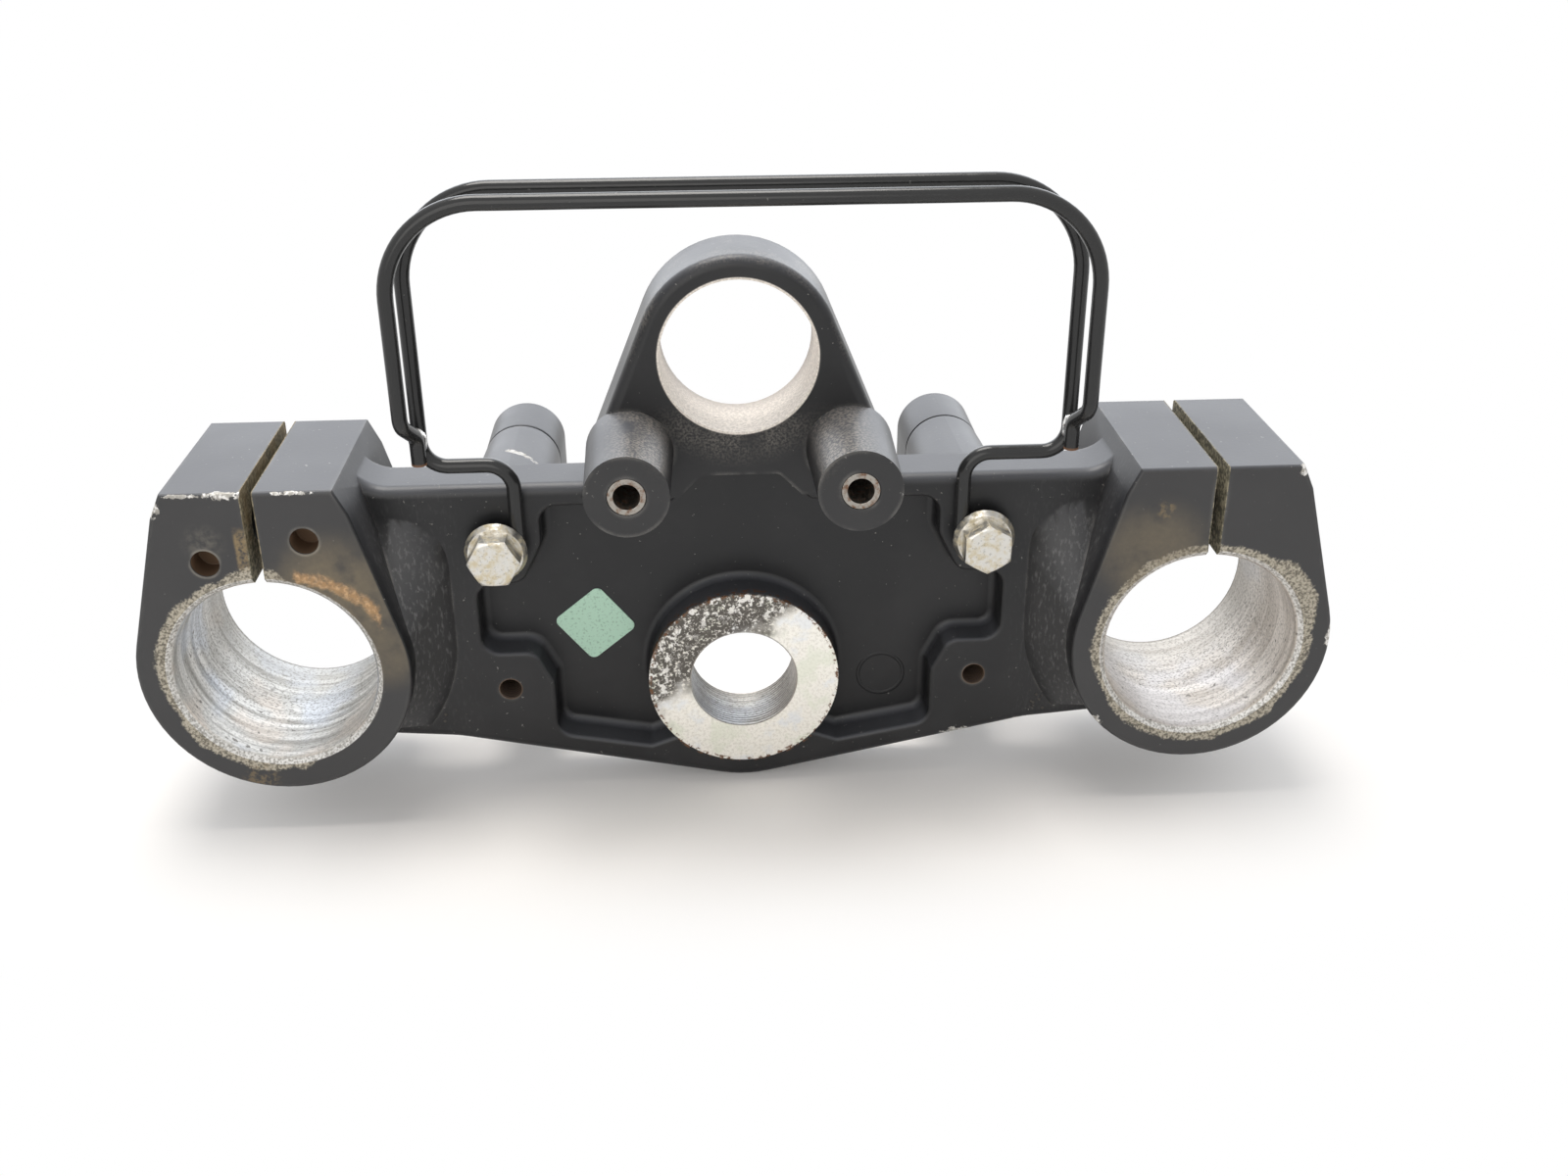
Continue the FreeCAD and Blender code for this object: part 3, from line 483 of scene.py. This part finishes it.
def add_grit(finish, cloudy):
    """Pale sand-cast grit in the lock ring, round it and on the lock bosses."""
    grains = finish.specks(grain=0.55 * MM, start=0.38, full=0.64)
    aside = finish.without(finish.front)
    from_ring = finish.axis_distance(RING_CENTRE)
    bosses = finish.inside(LOCK_BOSSES, LOCK_BOSS_RADIUS, soft=0.5 * MM)
    inner = finish.step(finish.unsigned(finish.x), *GRIT_ACROSS)
    on_boss = finish.both(bosses, aside, inner, finish.up, finish.step(cloudy, start=0.22, full=0.50))
    on_ring = finish.both(finish.step(finish.z, *GRIT_ON_RING), aside,
                          finish.step(cloudy, start=0.42, full=0.7))
    under_ring = finish.both(finish.step(from_ring, start=RING_RADIUS + 9 * MM, full=RING_RADIUS + 1 * MM),
                             finish.step(finish.z, *GRIT_UNDER_RING),
                             finish.step(cloudy, start=0.25, full=0.6))
    field = finish.either(on_boss, finish.times(on_ring, GRIT_SHARE_ON_RING),
                          finish.times(under_ring, GRIT_SHARE_UNDER_RING))
    finish.cover(finish.both(field, grains), GRIT_DARK, strength=0.7)
    in_ring = finish.step(from_ring, start=RING_RADIUS + 0.6 * MM, full=RING_RADIUS + 0.3 * MM)
    grit = finish.tint(finish.mix(grains, below=0.6, above=1.0), GRIT_DARK, GRIT_PALE)
    grit = finish.tint(finish.step(finish.y, *RING_TO_BACK), grit, GRIT_BACK)
    finish.cover(in_ring, grit, roughness=0.7, metallic=0.15)


def add_worn_rings(finish, near, grains, on_face, cloudy):
    """Sandy ring worn into the paint round each fork bore."""
    rim = FORK_RADIUS + BORE_CHAMFER
    uneven = finish.times(finish.minus(cloudy, NOISE_MIDDLE), RING_UNEVEN)
    thin = finish.window(finish.x, *THIN_RING, soft=5 * MM)
    wide = finish.step(finish.distance(WIDE_RING, WIDE_RING_SHAPE), start=9 * MM, full=3 * MM)
    shift = finish.times(finish.minus(thin, wide), RING_SHIFT)
    worn = finish.plus(finish.plus(near, uneven), shift)
    fade = finish.step(worn, start=rim + RING_WIDTH, full=rim + 0.2 * MM)
    broken = finish.step(finish.plus(fade, finish.times(grains, RING_BREAKUP)), start=0.55, full=0.95)
    sand = finish.tint(finish.step(grains, start=0.36, full=0.62), HALO_DARK, HALO_PALE_AND_LIP_HIGHLIGHT)
    finish.cover(finish.both(on_face, broken), sand, strength=0.92, roughness=0.6, metallic=0.2)


def bore_metal(finish, bands):
    """Colour of bare bore metal: turned bands, cool and warm tones, pits, and duller towards the back."""
    metal = finish.tint(finish.step(bands, start=0.36, full=0.64), BORE_DULL, BORE_BRIGHT)
    tone = finish.noise(grain=16 * MM, detail=2.0)
    cool = finish.step(tone, start=0.50, full=0.66)
    metal = finish.tint(cool, metal, BORE_COOL, strength=0.5)
    right_clamp = finish.step(finish.x, start=0, full=10 * MM)
    warm = finish.either(finish.step(tone, start=0.48, full=0.34), right_clamp)
    metal = finish.tint(warm, metal, BORE_WARM, strength=0.36)
    deeper = finish.mix(finish.step(finish.y, start=-6 * MM, full=14 * MM), below=0.35, above=0.65)
    pits = finish.both(finish.specks(grain=0.6 * MM, start=0.46, full=0.66), deeper)
    metal = finish.tint(pits, metal, BORE_PIT)
    scars = finish.specks(grain=1.9 * MM, start=0.67, full=0.71)
    metal = finish.tint(scars, metal, BORE_PIT, strength=0.75)
    backwards = finish.step(finish.y, start=4 * MM, full=26 * MM)
    return finish.tint(backwards, metal, BORE_DULL, strength=0.55)


def add_bores(finish, on_face, cloudy):
    """Bare fork bores, their bright chamfers and the worn ring round each. Gives the bores' colour."""
    left = finish.axis_distance(FORK_LEFT)
    right = finish.axis_distance(FORK_RIGHT)
    near = finish.calc("MINIMUM", left, right)
    grains = finish.noise(grain=0.55 * MM, detail=2.0)
    add_worn_rings(finish, near, grains, on_face, cloudy)
    rim = FORK_RADIUS + BORE_CHAMFER
    in_rim = finish.step(near, start=rim + 0.2 * MM, full=rim)
    chamfer = finish.tint(finish.step(grains, start=0.34, full=0.62), BARE_DULL, BARE)
    finish.cover(in_rim, chamfer, roughness=0.5, metallic=0.6)
    bands = finish.noise(grain=2.4 * MM, detail=5.0, roughness=0.7, stretch=(0.05, 1, 0.05))
    metal = bore_metal(finish, bands)
    bore = finish.step(near, start=FORK_RADIUS + 0.4 * MM, full=FORK_RADIUS + 0.2 * MM)
    finish.cover(bore, metal, roughness=0.46, metallic=0.75)
    back_rim = finish.step(finish.y, start=CLAMP_BACK - 2.2 * MM, full=CLAMP_BACK - 0.8 * MM)
    finish.cover(finish.both(bore, back_rim), BORE_PIT, strength=0.8, roughness=0.6, metallic=0.3)
    finish.emboss(finish.both(bands, bore), depth=0.05 * MM, strength=0.5)
    return metal


def add_dirt(finish, on_face, ragged, cloudy):
    """Brown dirt on the clamp faces and a pale haze by the left clamp's outer hole."""
    for spot, reach, strength in BROWN_SPOTS:
        near = finish.step(finish.distance(spot), start=reach, full=reach / 3)
        brown = finish.both(near, finish.step(cloudy, start=0.2, full=0.55))
        patchy = finish.mix(ragged, below=0.4, above=1.0)
        finish.cover(finish.both(on_face, brown, patchy), BROWN, strength=strength, roughness=0.7)
    near = finish.step(finish.distance(HAZE_SPOT), start=HAZE_REACH, full=1 * MM)
    haze = finish.both(near, finish.step(ragged, start=0.35, full=0.65))
    finish.cover(finish.both(on_face, haze), HAZE, strength=0.7, roughness=0.7)


def add_streak(finish, on_face, ragged):
    """Earth-coloured streak that curves away from the left bore."""
    from_left = finish.minus(finish.x, STREAK_LEFT)
    along = finish.calc("DIVIDE", from_left, STREAK_RIGHT - STREAK_LEFT)
    middle = finish.mix(along, below=STREAK_NEAR, above=STREAK_FAR)
    out = finish.minus(finish.axis_distance(FORK_LEFT), FORK_RADIUS)
    off = finish.unsigned(finish.minus(out, middle))
    band = finish.both(finish.step(off, start=3.0 * MM, full=0.2 * MM),
                       finish.window(along, low=0.1, high=0.9, soft=0.12),
                       finish.step(finish.z, *STREAK_FOOT))
    torn = finish.plus(finish.times(band, STREAK_BODY), finish.times(ragged, STREAK_TEAR))
    streak = finish.both(band, finish.step(torn, start=0.82, full=1.25))
    earth = finish.tint(finish.specks(grain=1.0 * MM, start=0.45, full=0.65), EARTH, EARTH_PALE)
    finish.cover(finish.both(on_face, streak), earth, strength=0.95, roughness=0.75)


def add_gold(finish, on_face, ragged):
    """Gold-brown stains: a strip beside the left slot and two small spots."""
    strip = finish.both(finish.window(finish.x, *GOLD_ACROSS, soft=0.7 * MM),
                        finish.window(finish.z, *GOLD_HEIGHT, soft=2.5 * MM),
                        finish.step(ragged, start=0.36, full=0.6))
    finish.cover(finish.both(on_face, strip), GOLD, strength=0.7, roughness=0.7)
    for spot, reach, strength in GOLD_SPOTS:
        near = finish.step(finish.distance(spot), start=reach, full=reach / 3)
        broken = finish.step(ragged, start=0.45, full=0.6)
        finish.cover(finish.both(on_face, near, broken), GOLD, strength=strength, roughness=0.7)


def add_seat(finish, cloudy, ragged):
    """Machined stem seat, corroded at the upper left, with rust at its rim."""
    stem = finish.axis_distance(STEM_AXIS)
    seat = finish.both(finish.step(stem, start=SEAT_RADIUS + 0.3 * MM, full=SEAT_RADIUS - 0.2 * MM),
                       finish.step(finish.y, start=0.9 * MM, full=0.3 * MM))
    grains = finish.noise(grain=0.65 * MM, detail=3.0, roughness=0.65)
    colour = finish.tint(finish.step(grains, start=0.56, full=0.36), SEAT_PALE, SEAT_GREY, strength=0.5)
    colour = finish.tint(finish.step(cloudy, start=0.50, full=0.64), colour, SEAT_GREEN, strength=0.5)
    colour = finish.tint(finish.step(cloudy, start=0.46, full=0.34), colour, SEAT_COOL, strength=0.5)
    towards_upper_left = finish.minus(finish.z, finish.times(finish.x, CORROSION_LEAN))
    reached = finish.step(towards_upper_left, start=-8 * MM, full=26 * MM)
    attack = finish.plus(reached, finish.minus(cloudy, NOISE_MIDDLE))
    mottle = finish.mix(0.5, below=grains, above=ragged)
    rot = finish.both(finish.step(mottle, start=0.40, full=0.50), finish.step(attack, start=0.28, full=0.62))
    colour = finish.tint(rot, colour, CORRODED, strength=0.97)
    lumps = finish.noise(grain=2.4 * MM, detail=4.0, roughness=0.65)
    crust = finish.both(finish.step(stem, start=14 * MM, full=19 * MM),
                        finish.step(attack, start=0.40, full=0.62),
                        finish.step(lumps, start=0.53, full=0.58))
    colour = finish.tint(crust, colour, SEAT_CRUST)
    clean = finish.without(finish.either(rot, crust))
    finish.cover(seat, colour, roughness=0.45, metallic=finish.times(clean, SEAT_SHINE))
    rim = finish.both(finish.window(stem, SEAT_RADIUS - 0.5 * MM, SEAT_RADIUS + 1.0 * MM, soft=0.5 * MM),
                      finish.step(finish.y, start=4 * MM, full=1 * MM),
                      finish.step(ragged, start=0.50, full=0.58))
    finish.cover(rim, RUST, roughness=0.85, metallic=0.0)
    finish.emboss(finish.both(seat, grains), depth=0.10 * MM, strength=0.5)


def add_threads(finish, metal):
    """Threads in the stem bore and in the pad holes."""
    stem = finish.axis_distance(STEM_AXIS)
    bore = finish.step(stem, start=STEM_RADIUS + 0.3 * MM, full=STEM_RADIUS + 0.1 * MM)
    finish.cover(bore, finish.tint(THREAD_GRIME, metal, BORE_PIT), roughness=0.4, metallic=0.7)
    pad_holes = finish.inside(PAD_HOLES, PAD_HOLE_RADIUS)
    finish.cover(pad_holes, HOLE_BROWN, strength=0.6, roughness=0.6)
    turns = finish.calc("SINE", finish.times(finish.y, 2 * math.pi / THREAD_PITCH))
    crests = finish.plus(finish.times(turns, 0.5), 0.5)
    threaded = finish.either(bore, pad_holes)
    finish.emboss(finish.both(crests, threaded), depth=0.2 * MM, strength=0.8)


def add_slots(finish, cloudy):
    """Sandy walls in the clamp slots, partly gold-brown in the left one."""
    off_axis = finish.unsigned(finish.minus(finish.unsigned(finish.x), FORK_RIGHT.x))
    slot = finish.both(finish.step(off_axis, start=SLOT_HALF + 0.3 * MM, full=SLOT_HALF + 0.1 * MM),
                       finish.step(finish.z, *SLOT_FOOT))
    sand = finish.tint(finish.specks(grain=0.9 * MM, start=0.42, full=0.62), SAND_DARK, SAND_PALE)
    left = finish.both(finish.step(finish.x, start=0, full=-10 * MM),
                       finish.step(cloudy, start=0.35, full=0.6))
    finish.cover(slot, finish.tint(left, sand, GOLD, strength=0.45), roughness=0.8)


def add_face_holes(finish, cloudy):
    """Brown walls of the two plain holes in the left clamp's face, and a faint painted highlight on their
    lips.
    """
    sunk = finish.window(finish.y, CLAMP_FRONT + 0.6 * MM, CLAMP_FRONT + FACE_HOLE_REACH, soft=0.4 * MM)
    holes = finish.both(finish.inside(FACE_HOLES, FACE_HOLE_RADIUS), sunk)
    finish.cover(holes, HOLE_BROWN, roughness=0.8)
    lip = FACE_HOLE_RADIUS + 0.3 * MM
    lips = [finish.window(finish.axis_distance(hole), FACE_HOLE_RADIUS, lip, soft=0.3 * MM)
            for hole in FACE_HOLES]
    # Painted highlight: a faint pale line on the lips of the holes, on faces that look forward
    worn = finish.both(finish.either(*lips), finish.front, finish.step(cloudy, start=0.4, full=0.65))
    finish.cover(worn, HALO_PALE_AND_LIP_HIGHLIGHT, strength=0.2)


def add_chips(finish, ragged):
    """Paint chipped to bright metal where the casting was knocked, and worn on edges."""
    fields = []
    for centre, along, wide in CHIPS:
        scale = (1 / along, 1 / wide, 1 / wide)
        fields.append(finish.step(finish.distance(centre, scale), start=2.2, full=0.2))
    torn = finish.times(finish.minus(ragged, NOISE_MIDDLE), CHIP_TEAR)
    knocked = finish.step(finish.plus(torn, finish.either(*fields)), start=0.60, full=0.72)
    worn = finish.worn_edge(ragged, start=0.66, full=0.70)
    metal = finish.tint(finish.specks(grain=0.9 * MM, start=0.42, full=0.66), BARE_DULL, BARE)
    finish.cover(finish.either(knocked, worn), metal, roughness=0.5, metallic=0.4)


def add_riser_scratch(finish, ragged):
    """White scratch across the top of the left riser."""
    moved = finish.vector("SUBTRACT", finish.place, RISER_SCRATCH)[0]
    along = finish.vector("DOT_PRODUCT", moved, SCRATCH_ALONG / SCRATCH_HALF_LENGTH)["Value"]
    wide = finish.vector("DOT_PRODUCT", moved, SCRATCH_ACROSS / SCRATCH_HALF_WIDTH)["Value"]
    off = finish.plus(finish.times(along, along), finish.times(wide, wide))
    torn = finish.times(finish.minus(ragged, NOISE_MIDDLE), SCRATCH_TEAR)
    mark = finish.step(finish.minus(torn, off), start=-0.9, full=-0.6)
    white = finish.tint(finish.specks(grain=0.9 * MM, start=0.36, full=0.60), BARE_DULL, SCRATCH_WHITE)
    finish.cover(finish.both(mark, finish.step(finish.z, *RISER_TOP)), white, roughness=0.6)


def add_marks(finish):
    """Mould marks: a plain ring in the pocket and small dimples beside the pads."""
    from_mark = finish.axis_distance(MARK_CENTRE)
    line = finish.window(from_mark, MARK_RADIUS - MARK_HALF_WIDTH, MARK_RADIUS + MARK_HALF_WIDTH,
                         soft=0.25 * MM)
    circle = finish.both(line, finish.front)
    cells = finish.node("ShaderNodeTexVoronoi", {"Vector": finish.place, "Scale": 1 / DIMPLE_CELL})
    fields = [finish.step(finish.axis_distance(spot), start=4.5 * MM, full=3 * MM) for spot in DIMPLES]
    hollows = finish.step(cells.outputs["Distance"], start=0.30, full=0.20)
    dimples = finish.both(hollows, finish.front, finish.either(*fields))
    finish.cover(dimples, CORRODED, strength=0.7)
    finish.emboss(finish.minus(circle, dimples), depth=0.25 * MM, strength=0.7)


def yoke_paint():
    finish = painted("cast_black_paint")
    cloudy = finish.noise(grain=9 * MM, detail=4.0)
    ragged = finish.noise(grain=1.6 * MM, detail=5.0, roughness=0.7)
    on_face = add_face_light_and_web_haze(finish)
    add_rim_highlight(finish, cloudy)
    add_grit(finish, cloudy)
    metal = add_bores(finish, on_face, cloudy)
    add_dirt(finish, on_face, ragged, cloudy)
    add_streak(finish, on_face, ragged)
    add_gold(finish, on_face, ragged)
    add_seat(finish, cloudy, ragged)
    add_threads(finish, metal)
    add_slots(finish, cloudy)
    add_face_holes(finish, cloudy)
    add_chips(finish, ragged)
    add_riser_scratch(finish, ragged)
    add_marks(finish)
    return finish.done(PAINT_SPECULAR)


def cap_paint():
    finish = painted("cap_black_paint")
    ragged = finish.noise(grain=2.0 * MM, detail=5.0, roughness=0.7)
    finish.cover(finish.worn_edge(ragged, start=0.64, full=0.67), BARE, roughness=0.4, metallic=0.8)
    return finish.done(PAINT_SPECULAR)


# Metal, wire, label and floor

def metal_finish(name, clean, stained, roughness, start, full):
    """Bare or plated metal with fine dark grain, and with stains where a cloudy noise passes start."""
    finish = Finish(name, clean, roughness, metallic=1.0)
    cloud = finish.noise(grain=1.6 * MM, detail=5.0, roughness=0.65)
    finish.cover(finish.step(cloud, start, full), stained, roughness=roughness + 0.25, metallic=0.6)
    finish.cover(finish.specks(grain=0.7 * MM, start=0.56, full=0.68), BORE_PIT, strength=0.35)
    finish.emboss(finish.noise(grain=0.5 * MM, detail=2.0), depth=0.03 * MM, strength=0.5)
    return finish.done()


def wire_finish(name, rust_below=None):
    """Gloss black coating, with rust under a height where the wire was cut."""
    finish = Finish(name, WIRE)
    cloud = finish.noise(grain=3 * MM, detail=4.0, roughness=0.6)
    finish.roughness = finish.mix(finish.step(cloud, start=0.35, full=0.7), below=0.12, above=0.22)
    finish.cover(finish.specks(grain=1.3 * MM, start=0.72, full=0.78), DUST_AND_RIM_HIGHLIGHT, strength=0.3)
    if rust_below is not None:
        cut = finish.step(finish.z, start=rust_below, full=rust_below - 0.5 * MM)
        finish.cover(cut, RUST, roughness=0.8)
    finish.emboss(cloud, depth=0.05 * MM, strength=0.25)
    return finish.done(WIRE_SPECULAR)


def label_finish():
    """Pale green paper with a fine dark fleck."""
    finish = Finish("label_green", LABEL_GREEN, roughness=0.55)
    finish.cover(finish.specks(grain=0.6 * MM, start=0.54, full=0.68), LABEL_SPECK, strength=0.5)
    return finish.done()


def floor_finish():
    """Pale floor: part of what is seen glows plain white, and the rest keeps the shadow."""
    material = bpy.data.materials.new("floor_pale")
    material.use_nodes = True
    graph = Graph(material.node_tree)
    diffuse = graph.node("ShaderNodeBsdfDiffuse", {"Color": FLOOR}).outputs[0]
    glow = graph.node("ShaderNodeEmission", {"Color": WHITE, "Strength": 1.0}).outputs[0]
    place = graph.node("ShaderNodeTexCoord").outputs["Object"]
    sized = graph.node("ShaderNodeVectorMath", {0: place, 1: GLOW_SHAPE}, operation="MULTIPLY").outputs[0]
    away = graph.node("ShaderNodeVectorMath", {0: sized}, operation="LENGTH").outputs["Value"]
    reach = graph.mix(graph.step(away, GLOW_FROM, GLOW_FULL), below=FLOOR_GLOW, above=1.0)
    share = graph.times(graph.seen_ray(), reach)
    mixed = graph.node("ShaderNodeMixShader", {0: share, 1: diffuse, 2: glow}).outputs[0]
    graph.node("ShaderNodeOutputMaterial", {"Surface": mixed})
    return material


# Object

def soften(piece, width):
    """Small edge rounds on a CAD node, and clean shading."""
    weld = piece.modifiers.new("weld", "WELD")
    weld.merge_threshold = MERGE_WITHIN
    flat = piece.modifiers.new("flat", "DECIMATE")
    flat.decimate_type = "DISSOLVE"
    flat.angle_limit = FLAT_ANGLE
    edge = piece.modifiers.new("edge", "BEVEL")
    edge.width = width
    edge.segments = EDGE_SEGMENTS
    edge.limit_method = "ANGLE"
    edge.angle_limit = EDGE_ANGLE
    edge.harden_normals = False
    piece.modifiers.new("shading", "WEIGHTED_NORMAL")


def dress(name, material):
    piece = NODES[name]
    piece.data.materials.clear()
    piece.data.materials.append(material)
    return piece


def make_weld(side):
    """Bare weld bead that joins the two wires at a hoop foot."""
    low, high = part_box("guide_main_wire")
    x = (low.x + WIRE_DIAMETER / 2) if side < 0 else (high.x - WIRE_DIAMETER / 2)
    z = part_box("guide_front_wire")[0].z + WELD_RISE
    bpy.ops.mesh.primitive_uv_sphere_add(segments=WELD_SEGMENTS, ring_count=WELD_RINGS, radius=1,
                                         location=(x, low.y, z))
    bead = bpy.context.object
    bead.name = "weld_left" if side < 0 else "weld_right"
    bead.scale = WELD_RADII
    bpy.ops.object.transform_apply(location=True, rotation=False, scale=True)
    lumps = bpy.data.textures.new(bead.name + "_lumps", "CLOUDS")
    lumps.noise_scale = WELD_LUMP
    rough = bead.modifiers.new("lumps", "DISPLACE")
    rough.texture = lumps
    rough.texture_coords = "GLOBAL"
    rough.strength = WELD_ROUGHNESS
    bpy.ops.object.shade_smooth()
    return bead


cap_black = cap_paint()
dark_steel = metal_finish("dark_steel", DARK_STEEL, DARK_STEEL_STAINED, roughness=0.4, start=0.4, full=0.7)
weld_metal = metal_finish("weld_metal", BARE, RUST, roughness=0.28, start=0.55, full=0.75)
insert_steel = metal_finish("insert_steel", STEEL, RUST, roughness=0.38, start=0.46, full=0.66)
zinc_plate = metal_finish("zinc_plate", ZINC, ZINC_STAINED, roughness=0.34, start=0.42, full=0.66)
cut_wire = wire_finish("wire_black_cut", rust_below=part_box("guide_front_wire")[0].z + CUT_RUST)

soften(dress("yoke", yoke_paint()), YOKE_EDGE)
for cap in ("riser_cap_left", "riser_cap_right"):
    soften(dress(cap, cap_black), CAP_EDGE)
soften(dress("riser_cap_screws", dark_steel), HARDWARE_EDGE)
soften(dress("thread_inserts", insert_steel), INSERT_EDGE)
soften(dress("guide_bolts", zinc_plate), HARDWARE_EDGE)
dress("guide_main_wire", wire_finish("wire_black"))
dress("guide_front_wire", cut_wire)
dress("inspection_label", label_finish())
for side in (-1, 1):
    bead = make_weld(side)
    bead.data.materials.append(weld_metal)
    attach(bead, "root")


# Floor, light and camera

def make_floor():
    bpy.ops.mesh.primitive_plane_add(size=FLOOR_SIZE, location=(0, 0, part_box("yoke")[0].z))
    floor = bpy.context.object
    floor.name = "floor"
    floor.data.materials.append(floor_finish())


def make_world():
    world = bpy.data.worlds.new("studio")
    bpy.context.scene.world = world
    world.use_nodes = True
    graph = Graph(world.node_tree)
    strength = graph.mix(graph.seen_ray(), below=SURROUND_LIGHT, above=SURROUND_SEEN)
    sky = graph.node("ShaderNodeBackground", {"Color": WHITE, "Strength": strength}).outputs[0]
    graph.node("ShaderNodeOutputWorld", {"Surface": sky})


def make_lamp(name, place, target, width, power, colour):
    lamp = bpy.data.lights.new(name, "AREA")
    lamp.shape = "DISK"
    lamp.size = width
    lamp.energy = power
    lamp.color = colour
    holder = bpy.data.objects.new(name, lamp)
    bpy.context.scene.collection.objects.link(holder)
    holder.location = place
    holder.rotation_mode = "QUATERNION"
    holder.rotation_quaternion = (Vector(target) - Vector(place)).to_track_quat("-Z", "Y")


def make_camera():
    forward = Vector((math.sin(CAMERA_YAW) * math.cos(CAMERA_PITCH),
                      math.cos(CAMERA_YAW) * math.cos(CAMERA_PITCH),
                      -math.sin(CAMERA_PITCH)))
    level = Vector((math.cos(CAMERA_YAW), -math.sin(CAMERA_YAW), 0))
    above = level.cross(forward)
    right = math.cos(CAMERA_ROLL) * level + math.sin(CAMERA_ROLL) * above
    up = math.cos(CAMERA_ROLL) * above - math.sin(CAMERA_ROLL) * level
    camera = bpy.data.cameras.new("photo_camera")
    camera.sensor_fit = "HORIZONTAL"
    camera.sensor_width = SENSOR
    camera.lens = SENSOR * FOCAL_PIXELS / IMAGE_WIDTH
    camera.clip_start = CLIP_NEAR
    camera.clip_end = CLIP_FAR
    holder = bpy.data.objects.new("photo_camera", camera)
    bpy.context.scene.collection.objects.link(holder)
    turn = Matrix((right, up, -forward)).transposed()
    holder.matrix_world = Matrix.Translation(CAMERA_PLACE) @ turn.to_4x4()
    bpy.context.scene.camera = holder


make_floor()
make_world()
for lamp in LAMPS:
    make_lamp(*lamp)
make_camera()
bpy.context.scene.view_settings.view_transform = "Standard"

bpy.context.view_layer.update()
